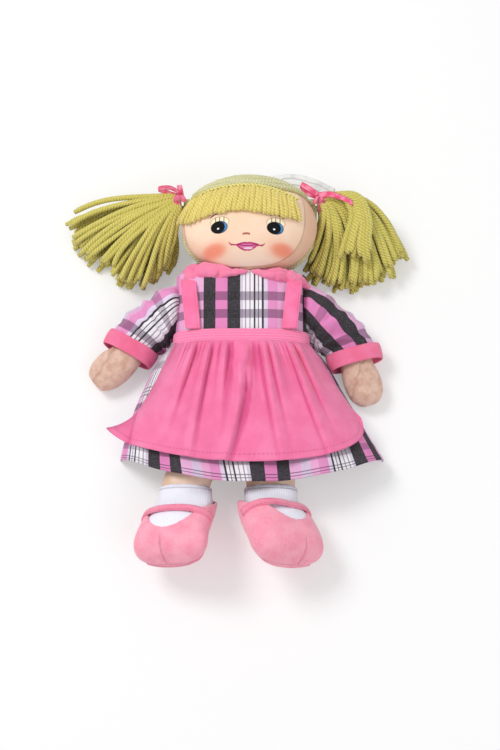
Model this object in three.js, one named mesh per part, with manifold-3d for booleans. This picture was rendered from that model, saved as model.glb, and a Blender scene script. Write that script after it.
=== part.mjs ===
// A rag doll in a plaid dress and a pink apron, lying on its back. Its head, body, arms and
// legs are stuffed cloth bags, its hair is yarn, and its clothes are sewn round it.
// Millimetres, +Z up. +Y points to the crown of the head and +X to the doll's own left hand.
// The origin is on the floor under the middle of the apron's waistband.
import * as THREE from "three";
import { mergeVertices } from "three/addons/utils/BufferGeometryUtils.js";
import Module from "manifold-3d";

const wasm = await Module();
wasm.setup();

// Driving sizes: lengths in millimetres, angles in degrees

// Layers of cloth, and the room between them
const gap = 0.3;
const pressed = 0.5;
const skinCloth = 1.5;
const dressCloth = 2.4;
const apronCloth = 2.2;
const strapCloth = 1.8;
const collarCloth = 3;
const cuffCloth = 2.6;
const sockKnit = 1.8;
const shoeFelt = 3;
const apronLift = 1.6;

// Body
const bodyWidth = 118;
const bodyDepth = 56;
const shoulderRise = 58;
const hipDrop = 34;
const hipHingeHeight = 40;
const hipSeamDepth = 4;
const hipShare = 0.8;
const hipLift = 6;
const bodySquareness = 3.2;

// Head and neck
const headWidth = 128;
const headLength = 96;
const headDepth = 86;
const chinRise = 63;
const headLean = 7.5;
const neckRadius = 13;
const neckBallRadius = 15.5;
const neckHingeRise = 52;
const neckHingeHeight = 38;
const neckInHead = 9;
const neckBallFlat = 9;
const necklineRoom = 6;
const nodForward = 10;
const chinRoom = 1.5;

// Hair
const hairDepth = 5.5;
const hairlineHeight = 44;
const partingRise = 72;
const napeRise = 13;
const fringeDepth = 8;
const fringeEdgeRise = 47;
const fringeEdgeDip = 5;
const fringeReach = 62;
const stitchRadius = 1.4;
const stitchReach = 52;

// Pigtails, as fans of yarn that lie on the floor
const tieRadius = 8;
const tieHeight = 38;
const tieTurn = 158;
const ribbonWidth = 7;
const ribbonCloth = 1.6;
const ribbonTail = 24;
const ribbonTailWidth = 8;
const ribbonTailTurns = [-20, 35];
const pigtailThickness = 36;
const pigtails = {
  right: { side: -1, upperLength: 112, lowerLength: 84, upperTurn: -2, lowerTurn: 78, bulge: 12 },
  left: { side: 1, upperLength: 98, lowerLength: 82, upperTurn: 16, lowerTurn: 98, bulge: 12 },
};

// Satin label sewn in behind the crown
const labelWidth = 19;
const labelLength = 76;
const labelReach = 17;
const labelCloth = 1.2;
const labelSeamRise = 38;
const labelSeamHeight = 14;

// Dress and apron
const bandWidth = 12;
const skirtDrop = 128;
const hemWidth = 246;
const hemHeight = 54;
const hemShift = 10;
const hemCurve = 0.0019;
const backHemRise = 16;
const skirtFolds = 6;
const skirtFoldDepth = 6;
const apronShare = 0.87;
const apronCornerShare = 0.56;
const apronFlareRight = 34;
const apronFlareLeft = 8;
const strapWidth = 15;
const strapTopReach = 49;
const strapBottomReach = 44;
const strapRise = 52;
const collarReach = 56;
const collarTop = 70;
const collarLow = 51;
const collarNotch = 4;

// Arms, with their sleeves and cuffs
const shoulderAxisRise = 36;
const shoulderAxisHeight = 31;
const armRootRadius = 15;
const armWidth = 34;
const armDepth = 24;
const handWidth = 38;
const handDepth = 26;
const handLength = 40;
const sleeveWidth = 46;
const sleeveDepth = 46;
const cuffWidth = 51;
const cuffDepth = 33;
const cuffLength = 14;
const arms = {
  right: { side: -1, reach: 40, drop: 31, cuffTurn: 30, handTurn: 50 },
  left: { side: 1, reach: 43, drop: 39, cuffTurn: 15, handTurn: 20 },
};

// Legs, socks and shoes
const legRound = 21.5;
const legWidth = 49;
const legDepth = 43;
const ankleDrop = 150;
const sockRise = 16;
const sockInShoe = 7;
const heelLift = 6;
const footTilt = 38;
const footOffset = 18;
const footLower = 4.5;
const footInset = 3.5;
const heelReach = 26;
const toeReach = 55;
const shoeWidth = 70;
const instepHeight = 39;
const soleThickness = 3.6;
const mouthMiddle = 9;
const mouthLength = 50;
const mouthWidth = 48;
const mouthHeight = 21;
const shoeStrapWidth = 11;
const shoeStrapCloth = 2.4;
const shoeStrapMiddle = 15;
const legs = {
  right: { side: -1, hip: 24, ankle: 51, roll: 26 },
  left: { side: 1, hip: 24, ankle: 27, roll: 36 },
};

// Colours
const skinPink = 0xf5d3bb;
const handTan = 0xdcb596;
const fillingWhite = 0xf2efe8;
const yarnGold = 0xc6bb55;
const stitchGold = 0xd9cf62;
const plaidPink = 0xd593c9;
const apronPink = 0xee5f98;
const ribbonPink = 0xf07f98;
const labelWhite = 0xf4f4f6;
const sockWhite = 0xe9e7f3;
const shoePink = 0xf0839b;

// Closed solids through oval sections

const point = (x, y, z) => new THREE.Vector3(x, y, z);
const radians = (degrees) => THREE.MathUtils.degToRad(degrees);
const blend = (a, b, t) => a + (b - a) * t;
const signedPower = (value, power) => Math.sign(value) * Math.abs(value) ** power;

function solid(points, faces) {
  let volume = 0;
  for (const [a, b, c] of faces) {
    volume += points[a].clone().cross(points[b]).dot(points[c]);
  }
  const outward = volume > 0 ? faces : faces.map(([a, b, c]) => [a, c, b]);
  return new wasm.Manifold(
    new wasm.Mesh({
      numProp: 3,
      vertProperties: new Float32Array(points.flatMap((p) => p.toArray())),
      triVerts: new Uint32Array(outward.flat()),
    }),
  );
}

// A three.js geometry with its shared vertices merged
function solidOf(geometry) {
  const bare = geometry.clone();
  bare.deleteAttribute("normal");
  bare.deleteAttribute("uv");
  const merged = mergeVertices(bare, 1e-4);
  const position = merged.getAttribute("position");
  const points = Array.from({ length: position.count }, (_, i) =>
    new THREE.Vector3().fromBufferAttribute(position, i),
  );
  const faces = [];
  for (let i = 0; i < merged.index.count; i += 3) {
    const face = [0, 1, 2].map((k) => merged.index.getX(i + k));
    if (new Set(face).size === 3) faces.push(face);
  }
  return solid(points, faces);
}

const cut = (body, ...tools) => tools.reduce((left, tool) => left.subtract(tool), body);
const common = (body, ...tools) => tools.reduce((left, tool) => left.intersect(tool), body);
const join = (body, ...others) => others.reduce((sum, other) => sum.add(other), body);

// The largest body that a cut leaves
const offcutsGone = (body) => body.decompose().sort((a, b) => b.volume() - a.volume())[0];

const oval = (at, across, up) => ({ at, across, up });

// An oval that stands across the doll, from its low side to its high side
const crossSection = (x, y, halfWidth, low, high) =>
  oval(point(x, y, (low + high) / 2), point(halfWidth, 0, 0), point(0, 0, (high - low) / 2));

// The same sections with a layer's thickness added round them. A positive end adds a section
// beyond that end, to cut an opening, and a negative one draws the end section in.
function layer(sections, by, firstEnd = 0, lastEnd = 0) {
  const grown = sections.map(({ at, across, up }) =>
    oval(
      at.clone(),
      across.clone().setLength(across.length() + by),
      up.clone().setLength(up.length() + by),
    ),
  );
  const last = grown.length - 1;
  const past = (end, beside, way) => {
    const along = end.at.clone().sub(beside.at).normalize();
    return oval(end.at.clone().addScaledVector(along, way), end.across, end.up);
  };
  const first = past(grown[0], grown[1], firstEnd);
  const final = past(grown[last], grown[last - 1], lastEnd);
  const kept = grown.slice(firstEnd < 0 ? 1 : 0, lastEnd < 0 ? last : last + 1);
  return [...(firstEnd ? [first] : []), ...kept, ...(lastEnd ? [final] : [])];
}

function loft(sections, count, squareness = 2) {
  const points = [];
  for (const { at, across, up } of sections) {
    for (let i = 0; i < count; i++) {
      const turn = (2 * Math.PI * i) / count;
      const c = signedPower(Math.cos(turn), 2 / squareness);
      const s = signedPower(Math.sin(turn), 2 / squareness);
      points.push(at.clone().addScaledVector(across, c).addScaledVector(up, s));
    }
  }
  const last = sections.length - 1;
  const faces = [];
  for (let row = 0; row < last; row++) {
    for (let i = 0; i < count; i++) {
      const a = row * count + i;
      const b = row * count + ((i + 1) % count);
      faces.push([a, b, b + count], [a, b + count, a + count]);
    }
  }
  for (let i = 1; i < count - 1; i++) {
    faces.push([0, i + 1, i]);
    faces.push([last * count, last * count + i, last * count + i + 1]);
  }
  return solid(points, faces);
}

const moved = (sections, frame) =>
  sections.map(({ at, across, up }) => {
    const turn = new THREE.Matrix3().setFromMatrix4(frame);
    return oval(
      at.clone().applyMatrix4(frame),
      across.clone().applyMatrix3(turn),
      up.clone().applyMatrix3(turn),
    );
  });

const box = (low, high) =>
  solidOf(
    new THREE.BoxGeometry(high.x - low.x, high.y - low.y, high.z - low.z).translate(
      (low.x + high.x) / 2,
      (low.y + high.y) / 2,
      (low.z + high.z) / 2,
    ),
  );

// A flat outline on the floor plane, raised between two heights
const raised = (shape, low, high) =>
  solidOf(
    new THREE.ExtrudeGeometry(shape, {
      depth: high - low,
      bevelEnabled: false,
      curveSegments: 8,
    }).translate(0, 0, low),
  );

const far = 600;
const underFloor = box(point(-far, -far, -far), point(far, far, 0));
const restOnFloor = (body) => cut(body, underFloor);

// The doll's main levels

const backOfBody = dressCloth + gap - pressed;
const frontOfBody = backOfBody + bodyDepth;
const middleOfBody = (backOfBody + frontOfBody) / 2;
const waist = -bandWidth / 2;
const dressLayer = gap + dressCloth;
const dressHalfWidth = bodyWidth / 2 + dressLayer;
const headMiddle = point(
  headLean,
  chinRise + headLength / 2,
  headDepth / 2 + gap + hairDepth - pressed,
);
const neckHinge = point(0, neckHingeRise, neckHingeHeight);

function headBall(by, across = 22, around = 14) {
  const ball = new THREE.SphereGeometry(1, across, around);
  ball.scale(headWidth / 2 + by, headLength / 2 + by, headDepth / 2 + by);
  return solidOf(ball.translate(headMiddle.x, headMiddle.y, headMiddle.z));
}

// What the head sweeps over the shoulders as it nods
const noddingRoom = () =>
  join(
    headBall(chinRoom),
    headBall(chinRoom)
      .translate([0, -neckHinge.y, -neckHinge.z])
      .rotate([nodForward, 0, 0])
      .translate([0, neckHinge.y, neckHinge.z]),
  );

// Body: a pillow that is drawn flat at the hip seam

const bodyCount = 22;
const fillingInset = skinCloth + 2 * gap;

function bodySections(by = 0) {
  const half = bodyWidth / 2 + by;
  const low = backOfBody - by;
  const high = frontOfBody + by;
  const hip = -hipDrop - Math.min(by, 0);
  const top = shoulderRise + by;
  const hipTaper = 16;
  const shoulderTaper = 9;
  return [
    crossSection(0, hip, half * hipShare, low + hipLift, hipHingeHeight + Math.min(by, 0)),
    crossSection(0, -hipDrop + hipTaper, half * 0.95, low + 1, high - 4),
    crossSection(0, waist, half, low, high),
    crossSection(0, top - shoulderTaper, half, low, high),
    crossSection(0, top - shoulderTaper / 3, half * 0.93, low + 5, high - 7),
    crossSection(0, top, half * 0.82, low + bodyDepth * 0.25, high - bodyDepth * 0.29),
  ];
}

const neckHole = (radius) =>
  solidOf(
    new THREE.CylinderGeometry(radius, radius, chinRise, 20).translate(
      neckHinge.x,
      neckHinge.y - neckBallRadius + chinRise / 2,
      neckHinge.z,
    ),
  );

function torsoCover() {
  const bag = loft(bodySections(), bodyCount, bodySquareness);
  const inside = loft(bodySections(-skinCloth), 16, bodySquareness);
  return cut(bag, inside, neckHole(neckBallRadius + 2 * gap), noddingRoom());
}

function torsoStuffing() {
  const filling = loft(bodySections(-fillingInset), 16, bodySquareness);
  return cut(filling, neckHole(neckBallRadius + 2 * gap), noddingRoom());
}

// Dress bodice, and what is sewn on its front

const neckRoom = neckBallRadius + necklineRoom;

const bodiceSolid = (by) => loft(bodySections(by).slice(2), bodyCount, bodySquareness);

function dressBodice() {
  const outside = bodiceSolid(dressLayer);
  const inside = loft(bodySections(gap), bodyCount, bodySquareness);
  const armholes = solidOf(
    new THREE.CylinderGeometry(armRootRadius + 2 * gap, armRootRadius + 2 * gap, far, 20)
      .rotateZ(Math.PI / 2)
      .translate(0, shoulderAxisRise, shoulderAxisHeight),
  );
  return restOnFloor(cut(outside, inside, armholes, neckHole(neckRoom), noddingRoom()));
}

// A patch of cloth that follows the front of the bodice within an outline
const frontPatch = (shape, from, thickness) =>
  common(
    cut(bodiceSolid(dressLayer + from + thickness), bodiceSolid(dressLayer + from)),
    raised(shape, middleOfBody, far),
  );

function outline(corners) {
  const shape = new THREE.Shape();
  shape.setFromPoints(corners.map(([x, y]) => new THREE.Vector2(x, y)));
  return shape;
}

function apronStrap(side) {
  const half = strapWidth / 2;
  const top = side * strapTopReach;
  const bottom = side * strapBottomReach;
  const foot = bandWidth / 2 + gap;
  const shape = outline([
    [top - half, strapRise],
    [bottom - half, foot],
    [bottom + half, foot],
    [top + half, strapRise],
  ]);
  return cut(frontPatch(shape, gap, strapCloth), noddingRoom());
}

function collarHalf(side) {
  const notch = side * gap + headLean * 0.2;
  const end = side * collarReach + headLean * 0.5;
  const shape = new THREE.Shape();
  shape.moveTo(notch, collarTop);
  shape.lineTo(notch, collarLow + collarNotch);
  shape.quadraticCurveTo(notch + side * 4, collarLow, notch + side * 14, collarLow);
  shape.lineTo(end - side * 16, collarLow);
  shape.quadraticCurveTo(end, collarLow, end, collarTop);
  const under = 2 * gap + strapCloth;
  return cut(frontPatch(shape, under, collarCloth), noddingRoom(), neckHole(neckRoom));
}

function apronWaistband() {
  const half = bandWidth / 2;
  const reach = dressHalfWidth - gap;
  const room = box(point(-reach, -half, middleOfBody), point(reach, half, far));
  return common(cut(bodiceSolid(dressLayer + gap + apronCloth), bodiceSolid(dressLayer + gap)), room);
}

// Skirt and apron: one bell shape, flat on the floor behind and in soft folds in front

const skirtTop = waist - gap;
const hipGather = 0.55;
const apronGather = 0.8;
const apronFoldDepth = 3;

const clothReach = (down, gather) => blend(dressHalfWidth, hemWidth / 2, down ** gather);

const cornerRound = (down) => blend(2 / bodySquareness, 1, down);

function skirtPoint(turn, down, by, fold = 0.5 + 0.5 * Math.cos(2 * skirtFolds * turn)) {
  const c = signedPower(Math.cos(turn), cornerRound(down));
  const s = signedPower(Math.sin(turn), 2 / bodySquareness);
  const middle = hemShift * down ** 2;
  const x = middle + (clothReach(down, hipGather) + by) * c;
  const low = -pressed - by;
  const high = blend(frontOfBody + dressLayer, hemHeight, down) + by;
  const rounded = (low + high) / 2 + ((high - low) / 2) * s;
  const draped = low + (high - low) * Math.max(s, 0);
  const z = blend(rounded, draped, Math.min(1, down / 0.3));
  const drop = skirtDrop - backHemRise * Math.sqrt(Math.max(-Math.sin(turn), 0));
  const y = skirtTop - drop * down + hemCurve * (x - middle) ** 2 * down;
  return point(x, y, z + skirtFoldDepth * fold * down * Math.max(s, 0));
}

// The apron hangs straighter than the skirt, so each of its points rests on the skirt's crests there
const lastOnSkirt = 0.985;

function apronPoint(turn, down, by) {
  const c = signedPower(Math.cos(turn), cornerRound(down));
  const flare = (c > 0 ? apronFlareLeft : apronFlareRight) * down * Math.cos(turn) ** 4;
  const middle = hemShift * down ** 2;
  const out = (clothReach(down, apronGather) + flare) * c;
  const share = out / clothReach(down, hipGather);
  const onSkirt = signedPower(Math.max(-lastOnSkirt, Math.min(lastOnSkirt, share)), 1 / cornerRound(down));
  const gather = (0.5 + 0.5 * Math.cos(2 * skirtFolds * turn)) * apronFoldDepth * down;
  const z = skirtPoint(Math.acos(onSkirt), down, by, 1).z + gather;
  return point(middle + out + by * c, skirtTop - skirtDrop * down + hemCurve * out ** 2 * down, z);
}

const skirtCount = 44;
const skirtRows = [0, 0.04, 0.1, 0.2, 0.32, 0.5, 0.68, 0.84, 1];

function dressSkirt() {
  const points = [];
  for (const by of [0, -dressCloth]) {
    for (const down of skirtRows) {
      for (let i = 0; i < skirtCount; i++) {
        points.push(skirtPoint((2 * Math.PI * i) / skirtCount, down, by));
      }
    }
  }
  const inner = skirtRows.length * skirtCount;
  const faces = [];
  for (let row = 0; row < skirtRows.length - 1; row++) {
    for (let i = 0; i < skirtCount; i++) {
      const a = row * skirtCount + i;
      const b = row * skirtCount + ((i + 1) % skirtCount);
      const [c, d] = [a + skirtCount, b + skirtCount];
      faces.push([a, b, d], [a, d, c]);
      faces.push([inner + a, inner + d, inner + b], [inner + a, inner + c, inner + d]);
    }
  }
  const hem = inner - skirtCount;
  for (let i = 0; i < skirtCount; i++) {
    const j = (i + 1) % skirtCount;
    faces.push([i, inner + i, inner + j], [i, inner + j, j]);
    faces.push([hem + i, hem + j, inner + hem + j], [hem + i, inner + hem + j, inner + hem + i]);
  }
  return restOnFloor(solid(points, faces));
}

function apronSkirt() {
  const across = skirtCount / 2 - 2;
  const points = [];
  for (const by of [apronLift, apronLift + apronCloth]) {
    for (const down of skirtRows) {
      for (let i = 0; i <= across; i++) {
        const turn = (2 * Math.PI * (i + 1)) / skirtCount;
        const share = blend(apronShare, apronCornerShare, Math.abs(Math.cos(turn)) ** 4);
        points.push(apronPoint(turn, share * down, by));
      }
    }
  }
  const width = across + 1;
  const upper = skirtRows.length * width;
  const faces = [];
  for (let row = 0; row < skirtRows.length - 1; row++) {
    for (let i = 0; i < across; i++) {
      const a = row * width + i;
      const [b, c, d] = [a + 1, a + width, a + width + 1];
      faces.push([a, b, d], [a, d, c]);
      faces.push([upper + a, upper + d, upper + b], [upper + a, upper + c, upper + d]);
    }
  }
  const rim = [];
  for (let i = 0; i < across; i++) rim.push(i);
  for (let row = 0; row < skirtRows.length - 1; row++) rim.push(row * width + across);
  for (let i = across; i > 0; i--) rim.push(upper - width + i);
  for (let row = skirtRows.length - 1; row > 0; row--) rim.push(row * width);
  rim.forEach((a, k) => {
    const b = rim[(k + 1) % rim.length];
    faces.push([a, upper + a, upper + b], [a, upper + b, b]);
  });
  return restOnFloor(solid(points, faces));
}

function hipSeam() {
  const half = (bodyWidth / 2) * hipShare;
  const back = -hipDrop - gap;
  const low = backOfBody + hipLift;
  return loft(
    [back, back - hipSeamDepth].map((y) => crossSection(0, y, half, low, hipHingeHeight - gap)),
    bodyCount,
    bodySquareness,
  );
}

// Head, neck and hair

function headCover() {
  const shell = cut(headBall(0), headBall(-skinCloth, 14, 9));
  return cut(shell, neckHole(neckRadius + gap));
}

const headStuffing = () => cut(headBall(-fillingInset - gap, 14, 9), neckHole(neckRadius + gap));

function neck() {
  const top = chinRise + neckInHead;
  const length = top - neckHinge.y;
  const ball = new THREE.SphereGeometry(neckBallRadius, 16, 10).translate(
    neckHinge.x,
    neckHinge.y,
    neckHinge.z,
  );
  const stem = new THREE.CylinderGeometry(neckRadius, neckRadius, length, 16).translate(
    neckHinge.x,
    neckHinge.y + length / 2,
    neckHinge.z,
  );
  const end = neckHinge.y - neckBallFlat;
  return cut(join(solidOf(ball), solidOf(stem)), box(point(-far, -far, -far), point(far, end, far)));
}

const parting = headMiddle.y - headLength / 2 + partingRise;

function hairCap() {
  const cap = cut(headBall(hairDepth + gap), headBall(gap));
  const face = box(point(-far, -far, hairlineHeight), point(far, parting, far));
  const nape = box(point(-far, -far, -far), point(far, chinRise + napeRise, far));
  return restOnFloor(cut(cap, face, nape));
}

function hairFringe() {
  const top = parting - gap;
  const edge = chinRise + fringeEdgeRise;
  const shape = new THREE.Shape();
  shape.moveTo(headLean - fringeReach, top);
  shape.lineTo(headLean - fringeReach, edge);
  shape.quadraticCurveTo(headLean, edge - fringeEdgeDip, headLean + fringeReach, edge - fringeEdgeDip);
  shape.lineTo(headLean + fringeReach, top);
  const room = raised(shape, hairlineHeight + gap, far);
  return offcutsGone(common(cut(headBall(fringeDepth), headBall(gap)), room));
}

function partingStitch() {
  const lift = hairDepth + 2 * gap + stitchRadius;
  const rise = parting + 2 * stitchRadius - headMiddle.y;
  const steps = 12;
  const points = [];
  for (let i = 0; i <= steps; i++) {
    const x = stitchReach * ((2 * i) / steps - 1);
    const inside = 1 - (x / (headWidth / 2 + lift)) ** 2 - (rise / (headLength / 2 + lift)) ** 2;
    const height = (headDepth / 2 + lift) * Math.sqrt(inside);
    points.push(point(headMiddle.x + x, headMiddle.y + rise, headMiddle.z + height));
  }
  const section = new THREE.Shape().absarc(0, 0, stitchRadius, 0, 2 * Math.PI);
  const path = new THREE.CatmullRomCurve3(points);
  const options = { extrudePath: path, steps, curveSegments: 3, bevelEnabled: false };
  return solidOf(new THREE.ExtrudeGeometry(section, options));
}

// Where a pigtail is tied: beside the hair cap, at an angle from the doll's left-hand side
function tiePoint(side) {
  const turn = radians(tieTurn);
  const way = point(-side * Math.cos(turn), Math.sin(turn), 0);
  const lift = hairDepth + gap;
  const shrink = Math.sqrt(1 - ((tieHeight - headMiddle.z) / (headDepth / 2 + lift)) ** 2);
  const across = (headWidth / 2 + lift) * shrink;
  const along = (headLength / 2 + lift) * shrink;
  const surface = 1 / Math.hypot(way.x / across, way.y / along);
  const tie = headMiddle.clone().addScaledVector(way, surface + tieRadius + gap);
  return tie.setZ(tieHeight);
}

function pigtail({ side, upperLength, lowerLength, upperTurn, lowerTurn, bulge }, by = 0) {
  const tie = tiePoint(side);
  const ray = (length, turn) =>
    point(side * Math.cos(radians(turn)) * length, -Math.sin(radians(turn)) * length, 0);
  const middleWay = ray(1, (upperTurn + lowerTurn) / 2);
  const stations = [
    { out: 0.1, spread: 1, height: 0.85, thick: 0.5 },
    { out: 0.25, spread: 1, height: 0.65, thick: 0.75 },
    { out: 0.5, spread: 1, height: 0.3, thick: 1 },
    { out: 0.75, spread: 1, height: 0.1, thick: 0.95 },
    { out: 0.93, spread: 0.88, height: 0, thick: 0.7 },
    { out: 1.05, spread: 0.5, height: 0, thick: 0.4 },
  ];
  const fan = stations.map(({ out, spread, height, thick }) => {
    const upper = ray(upperLength * out, upperTurn).addScaledVector(middleWay, bulge * out ** 3);
    const lower = ray(lowerLength * out, lowerTurn).addScaledVector(middleWay, bulge * out ** 3);
    const half = upper.clone().sub(lower).multiplyScalar(spread / 2);
    const reach = Math.max(half.length(), tieRadius);
    const depth = (pigtailThickness / 2) * thick;
    const at = upper.add(lower).multiplyScalar(0.5).add(tie);
    at.z = blend(depth - pressed, tieHeight, height);
    return oval(at, half.setLength(reach), point(0, 0, depth));
  });
  const knot = oval(
    tie.clone().addScaledVector(middleWay, -tieRadius * 0.2),
    fan[0].across.clone().setLength(tieRadius * 0.9),
    point(0, 0, tieRadius * 0.9),
  );
  const ball = new THREE.SphereGeometry(tieRadius + by, 12, 8).translate(tie.x, tie.y, tie.z);
  const head = headBall(hairDepth + 2 * gap);
  return restOnFloor(cut(join(loft(layer([knot, ...fan], by), 14), solidOf(ball)), head));
}

// A blank satin label, sewn in behind the crown, that lies out to one side on the floor
function sewnLabel() {
  const seam = point(headLean + 4, headMiddle.y + labelSeamRise, labelSeamHeight);
  const stations = [
    { along: 0, out: 0, height: 1 },
    { along: 0.16, out: 0.75, height: 0.75 },
    { along: 0.42, out: 1, height: 0.45 },
    { along: 0.7, out: 0.8, height: 0.6 },
    { along: 1, out: 0.5, height: 0.2 },
  ];
  const half = labelWidth / 2;
  const places = stations.map(({ along, out, height }) =>
    point(seam.x + labelLength * along, seam.y + labelReach * out, labelSeamHeight * height + labelCloth),
  );
  const sections = places.map((at, i) => {
    const way = places[Math.min(i + 1, 4)].clone().sub(places[Math.max(i - 1, 0)]);
    const across = point(-way.y, way.x, 0).setLength(half);
    return oval(at, across, point(0, 0, labelCloth / 2));
  });
  return offcutsGone(cut(loft(sections, 8, 5), headBall(hairDepth + 2 * gap)));
}

// Arms: each leaves its armhole level, bends down in the sleeve and ends in a mitten hand

function armPath({ side, reach, drop, cuffTurn, handTurn }) {
  const root = point(side * (dressHalfWidth + gap), shoulderAxisRise, shoulderAxisHeight);
  const cuffNormal = point(side * Math.sin(radians(cuffTurn)), -Math.cos(radians(cuffTurn)), 0);
  const cuffAcross = point(side * Math.cos(radians(cuffTurn)), Math.sin(radians(cuffTurn)), 0);
  const handWay = point(side * Math.sin(radians(handTurn)), -Math.cos(radians(handTurn)), 0);
  const cuffTop = root.clone().add(point(side * reach, -drop, 0)).setZ(cuffDepth / 2);
  const cuffEnd = cuffTop.clone().addScaledVector(cuffNormal, cuffLength);
  const elbow = root.clone().lerp(cuffTop, 0.4);
  elbow.z = blend(root.z, cuffTop.z, 0.15);
  const elbowAcross = point(0, 1, 0).add(cuffAcross).normalize();
  return { root, elbow, elbowAcross, cuffTop, cuffEnd, cuffAcross, handWay };
}

function armSections(arm) {
  const { root, elbow, elbowAcross, cuffTop, cuffEnd, cuffAcross, handWay } = armPath(arm);
  const inner = root.clone().setX(arm.side * (bodyWidth / 2 + gap));
  const outer = root.clone().add(point(arm.side * gap * 2, 0, 0));
  const level = (at, across, half, deep) =>
    oval(at, across.clone().setLength(half), point(0, 0, deep));
  const hand = (share) => {
    const at = cuffEnd.clone().addScaledVector(handWay, handLength * share);
    return at.setZ(blend(cuffDepth / 2, handDepth / 2 - pressed, Math.min(1, share * 2)));
  };
  const handAcross = point(-handWay.y, handWay.x, 0).multiplyScalar(arm.side);
  return [
    level(inner, point(0, 1, 0), armRootRadius, armRootRadius),
    level(outer, point(0, 1, 0), armRootRadius, armRootRadius),
    level(elbow, elbowAcross, armWidth / 2, armRootRadius),
    level(cuffTop, cuffAcross, armWidth / 2, armDepth / 2),
    level(cuffEnd, cuffAcross, armWidth / 2, armDepth / 2),
    level(hand(0.35), handAcross, handWidth / 2, handDepth / 2),
    level(hand(0.75), handAcross, handWidth * 0.43, handDepth * 0.44),
    level(hand(1), handAcross, handWidth * 0.2, handDepth * 0.22),
  ];
}

function armCover(arm) {
  const sections = armSections(arm);
  const bag = loft(sections, 16);
  const inside = loft(layer(sections, -skinCloth, 4, -skinCloth), 12);
  return restOnFloor(cut(bag, inside));
}

function armStuffing(arm) {
  return loft(layer(armSections(arm), -fillingInset, -gap, -fillingInset), 12);
}

function sleeveSections(arm) {
  const { root, elbow, elbowAcross, cuffTop, cuffAcross } = armPath(arm);
  return [
    oval(root, point(0, sleeveWidth / 2, 0), point(0, 0, sleeveDepth / 2)),
    oval(elbow, elbowAcross.clone().setLength(sleeveWidth / 2), point(0, 0, sleeveDepth * 0.46)),
    oval(cuffTop, cuffAcross.clone().setLength(cuffWidth / 2 - 1), point(0, 0, cuffDepth / 2)),
  ];
}

function sleeve(arm) {
  const sections = sleeveSections(arm);
  const inside = layer(sections, -dressCloth, 2, 2);
  return restOnFloor(cut(loft(sections, 18), loft(inside, 18)));
}

function cuff(arm) {
  const { cuffTop, cuffEnd, cuffAcross } = armPath(arm);
  const way = cuffEnd.clone().sub(cuffTop).normalize();
  const ends = [cuffTop.clone().addScaledVector(way, gap), cuffEnd];
  const sections = ends.map((at) =>
    oval(at, cuffAcross.clone().setLength(cuffWidth / 2), point(0, 0, cuffDepth / 2 + pressed)),
  );
  return restOnFloor(cut(loft(sections, 18), loft(layer(sections, -cuffCloth, 2, 2), 18)));
}

// Legs: each top is round in plan, so that it turns beside the hip seam

const legTop = -hipDrop - hipSeamDepth - 2 * gap;
const legBack = dressCloth + gap;
const legFront = legBack + legDepth;

function legSections(leg) {
  const hipX = leg.side * leg.hip;
  const ankleX = leg.side * leg.ankle;
  const fullY = legTop - legRound;
  const low = backOfBody + hipLift;
  const rounds = [0.02, 0.16, 0.42, 0.72].map((share) => {
    const half = legRound * Math.sqrt(1 - (1 - share) ** 2);
    const y = legTop - legRound * share;
    return crossSection(hipX, y, half, blend(low, legBack, share), blend(hipHingeHeight, legFront, share));
  });
  return [
    ...rounds,
    crossSection(hipX, fullY, legRound, legBack, legFront),
    crossSection(blend(hipX, ankleX, 0.55), blend(fullY, -ankleDrop, 0.45), legWidth / 2, legBack, legFront),
    crossSection(ankleX, -ankleDrop + sockRise, legWidth / 2, legBack, legFront),
    crossSection(ankleX, -ankleDrop, legWidth / 2, legBack + heelLift, legFront),
    crossSection(ankleX, -ankleDrop - sockInShoe, legWidth * 0.46, legBack + 2 * heelLift, legFront - 4),
  ];
}

// The shoe's own frame: across, towards the toe, and up from the sole
function shoeFrame(leg) {
  const tilt = radians(footTilt);
  const toe = point(0, -Math.cos(tilt), Math.sin(tilt));
  const up = point(0, Math.sin(tilt), Math.cos(tilt));
  const basis = new THREE.Matrix4().makeBasis(toe.clone().cross(up), toe, up);
  const ankleHeight = (legBack + legFront) / 2;
  return new THREE.Matrix4()
    .makeTranslation(leg.side * (leg.ankle - footInset), -ankleDrop, ankleHeight)
    .multiply(new THREE.Matrix4().makeRotationY(radians(leg.roll) * leg.side))
    .multiply(new THREE.Matrix4().makeTranslation(0, -footOffset, -footLower))
    .multiply(basis);
}

function shoeSections(by = 0) {
  const half = shoeWidth / 2 + by;
  const heel = -heelReach - by;
  const toe = toeReach + by;
  const top = instepHeight + by;
  return [
    crossSection(0, heel, half * 0.45, instepHeight * 0.18 - by / 2, instepHeight * 0.56 + by / 2),
    crossSection(0, heel * 0.85, half * 0.7, 1.5 - by, top - 8),
    crossSection(0, heel * 0.4, half * 0.88, -by, top - 1),
    crossSection(0, toe * 0.15, half * 0.94, -by, top),
    crossSection(0, toe * 0.5, half, -by, top),
    crossSection(0, toe * 0.76, half * 0.97, -by, top - 6),
    crossSection(0, toe * 0.93, half * 0.78, 1 - by, top - 13),
    crossSection(0, toe, half * 0.45, instepHeight * 0.13 - by / 2, instepHeight * 0.46 + by / 2),
  ];
}

const shoeSolid = (leg, by, count = 14) =>
  loft(moved(shoeSections(by), shoeFrame(leg)), count, 2.4);

function legCover(leg) {
  const bag = loft(legSections(leg), 14);
  const inside = loft(layer(legSections(leg), -skinCloth, skinCloth + 1, -skinCloth), 10);
  return cut(bag, inside);
}

const legStuffing = (leg) => loft(layer(legSections(leg), -fillingInset, 0, -fillingInset), 10);

// A sock is the skin of the foot: its stuffed toe fills the shoe, and its top is drawn over the ankle
const footBy = -shoeFelt - gap;

const sockTube = (leg, by, up = 0, down = 0) =>
  loft(layer(legSections(leg).slice(-3), by, up, down), 14);

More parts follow.
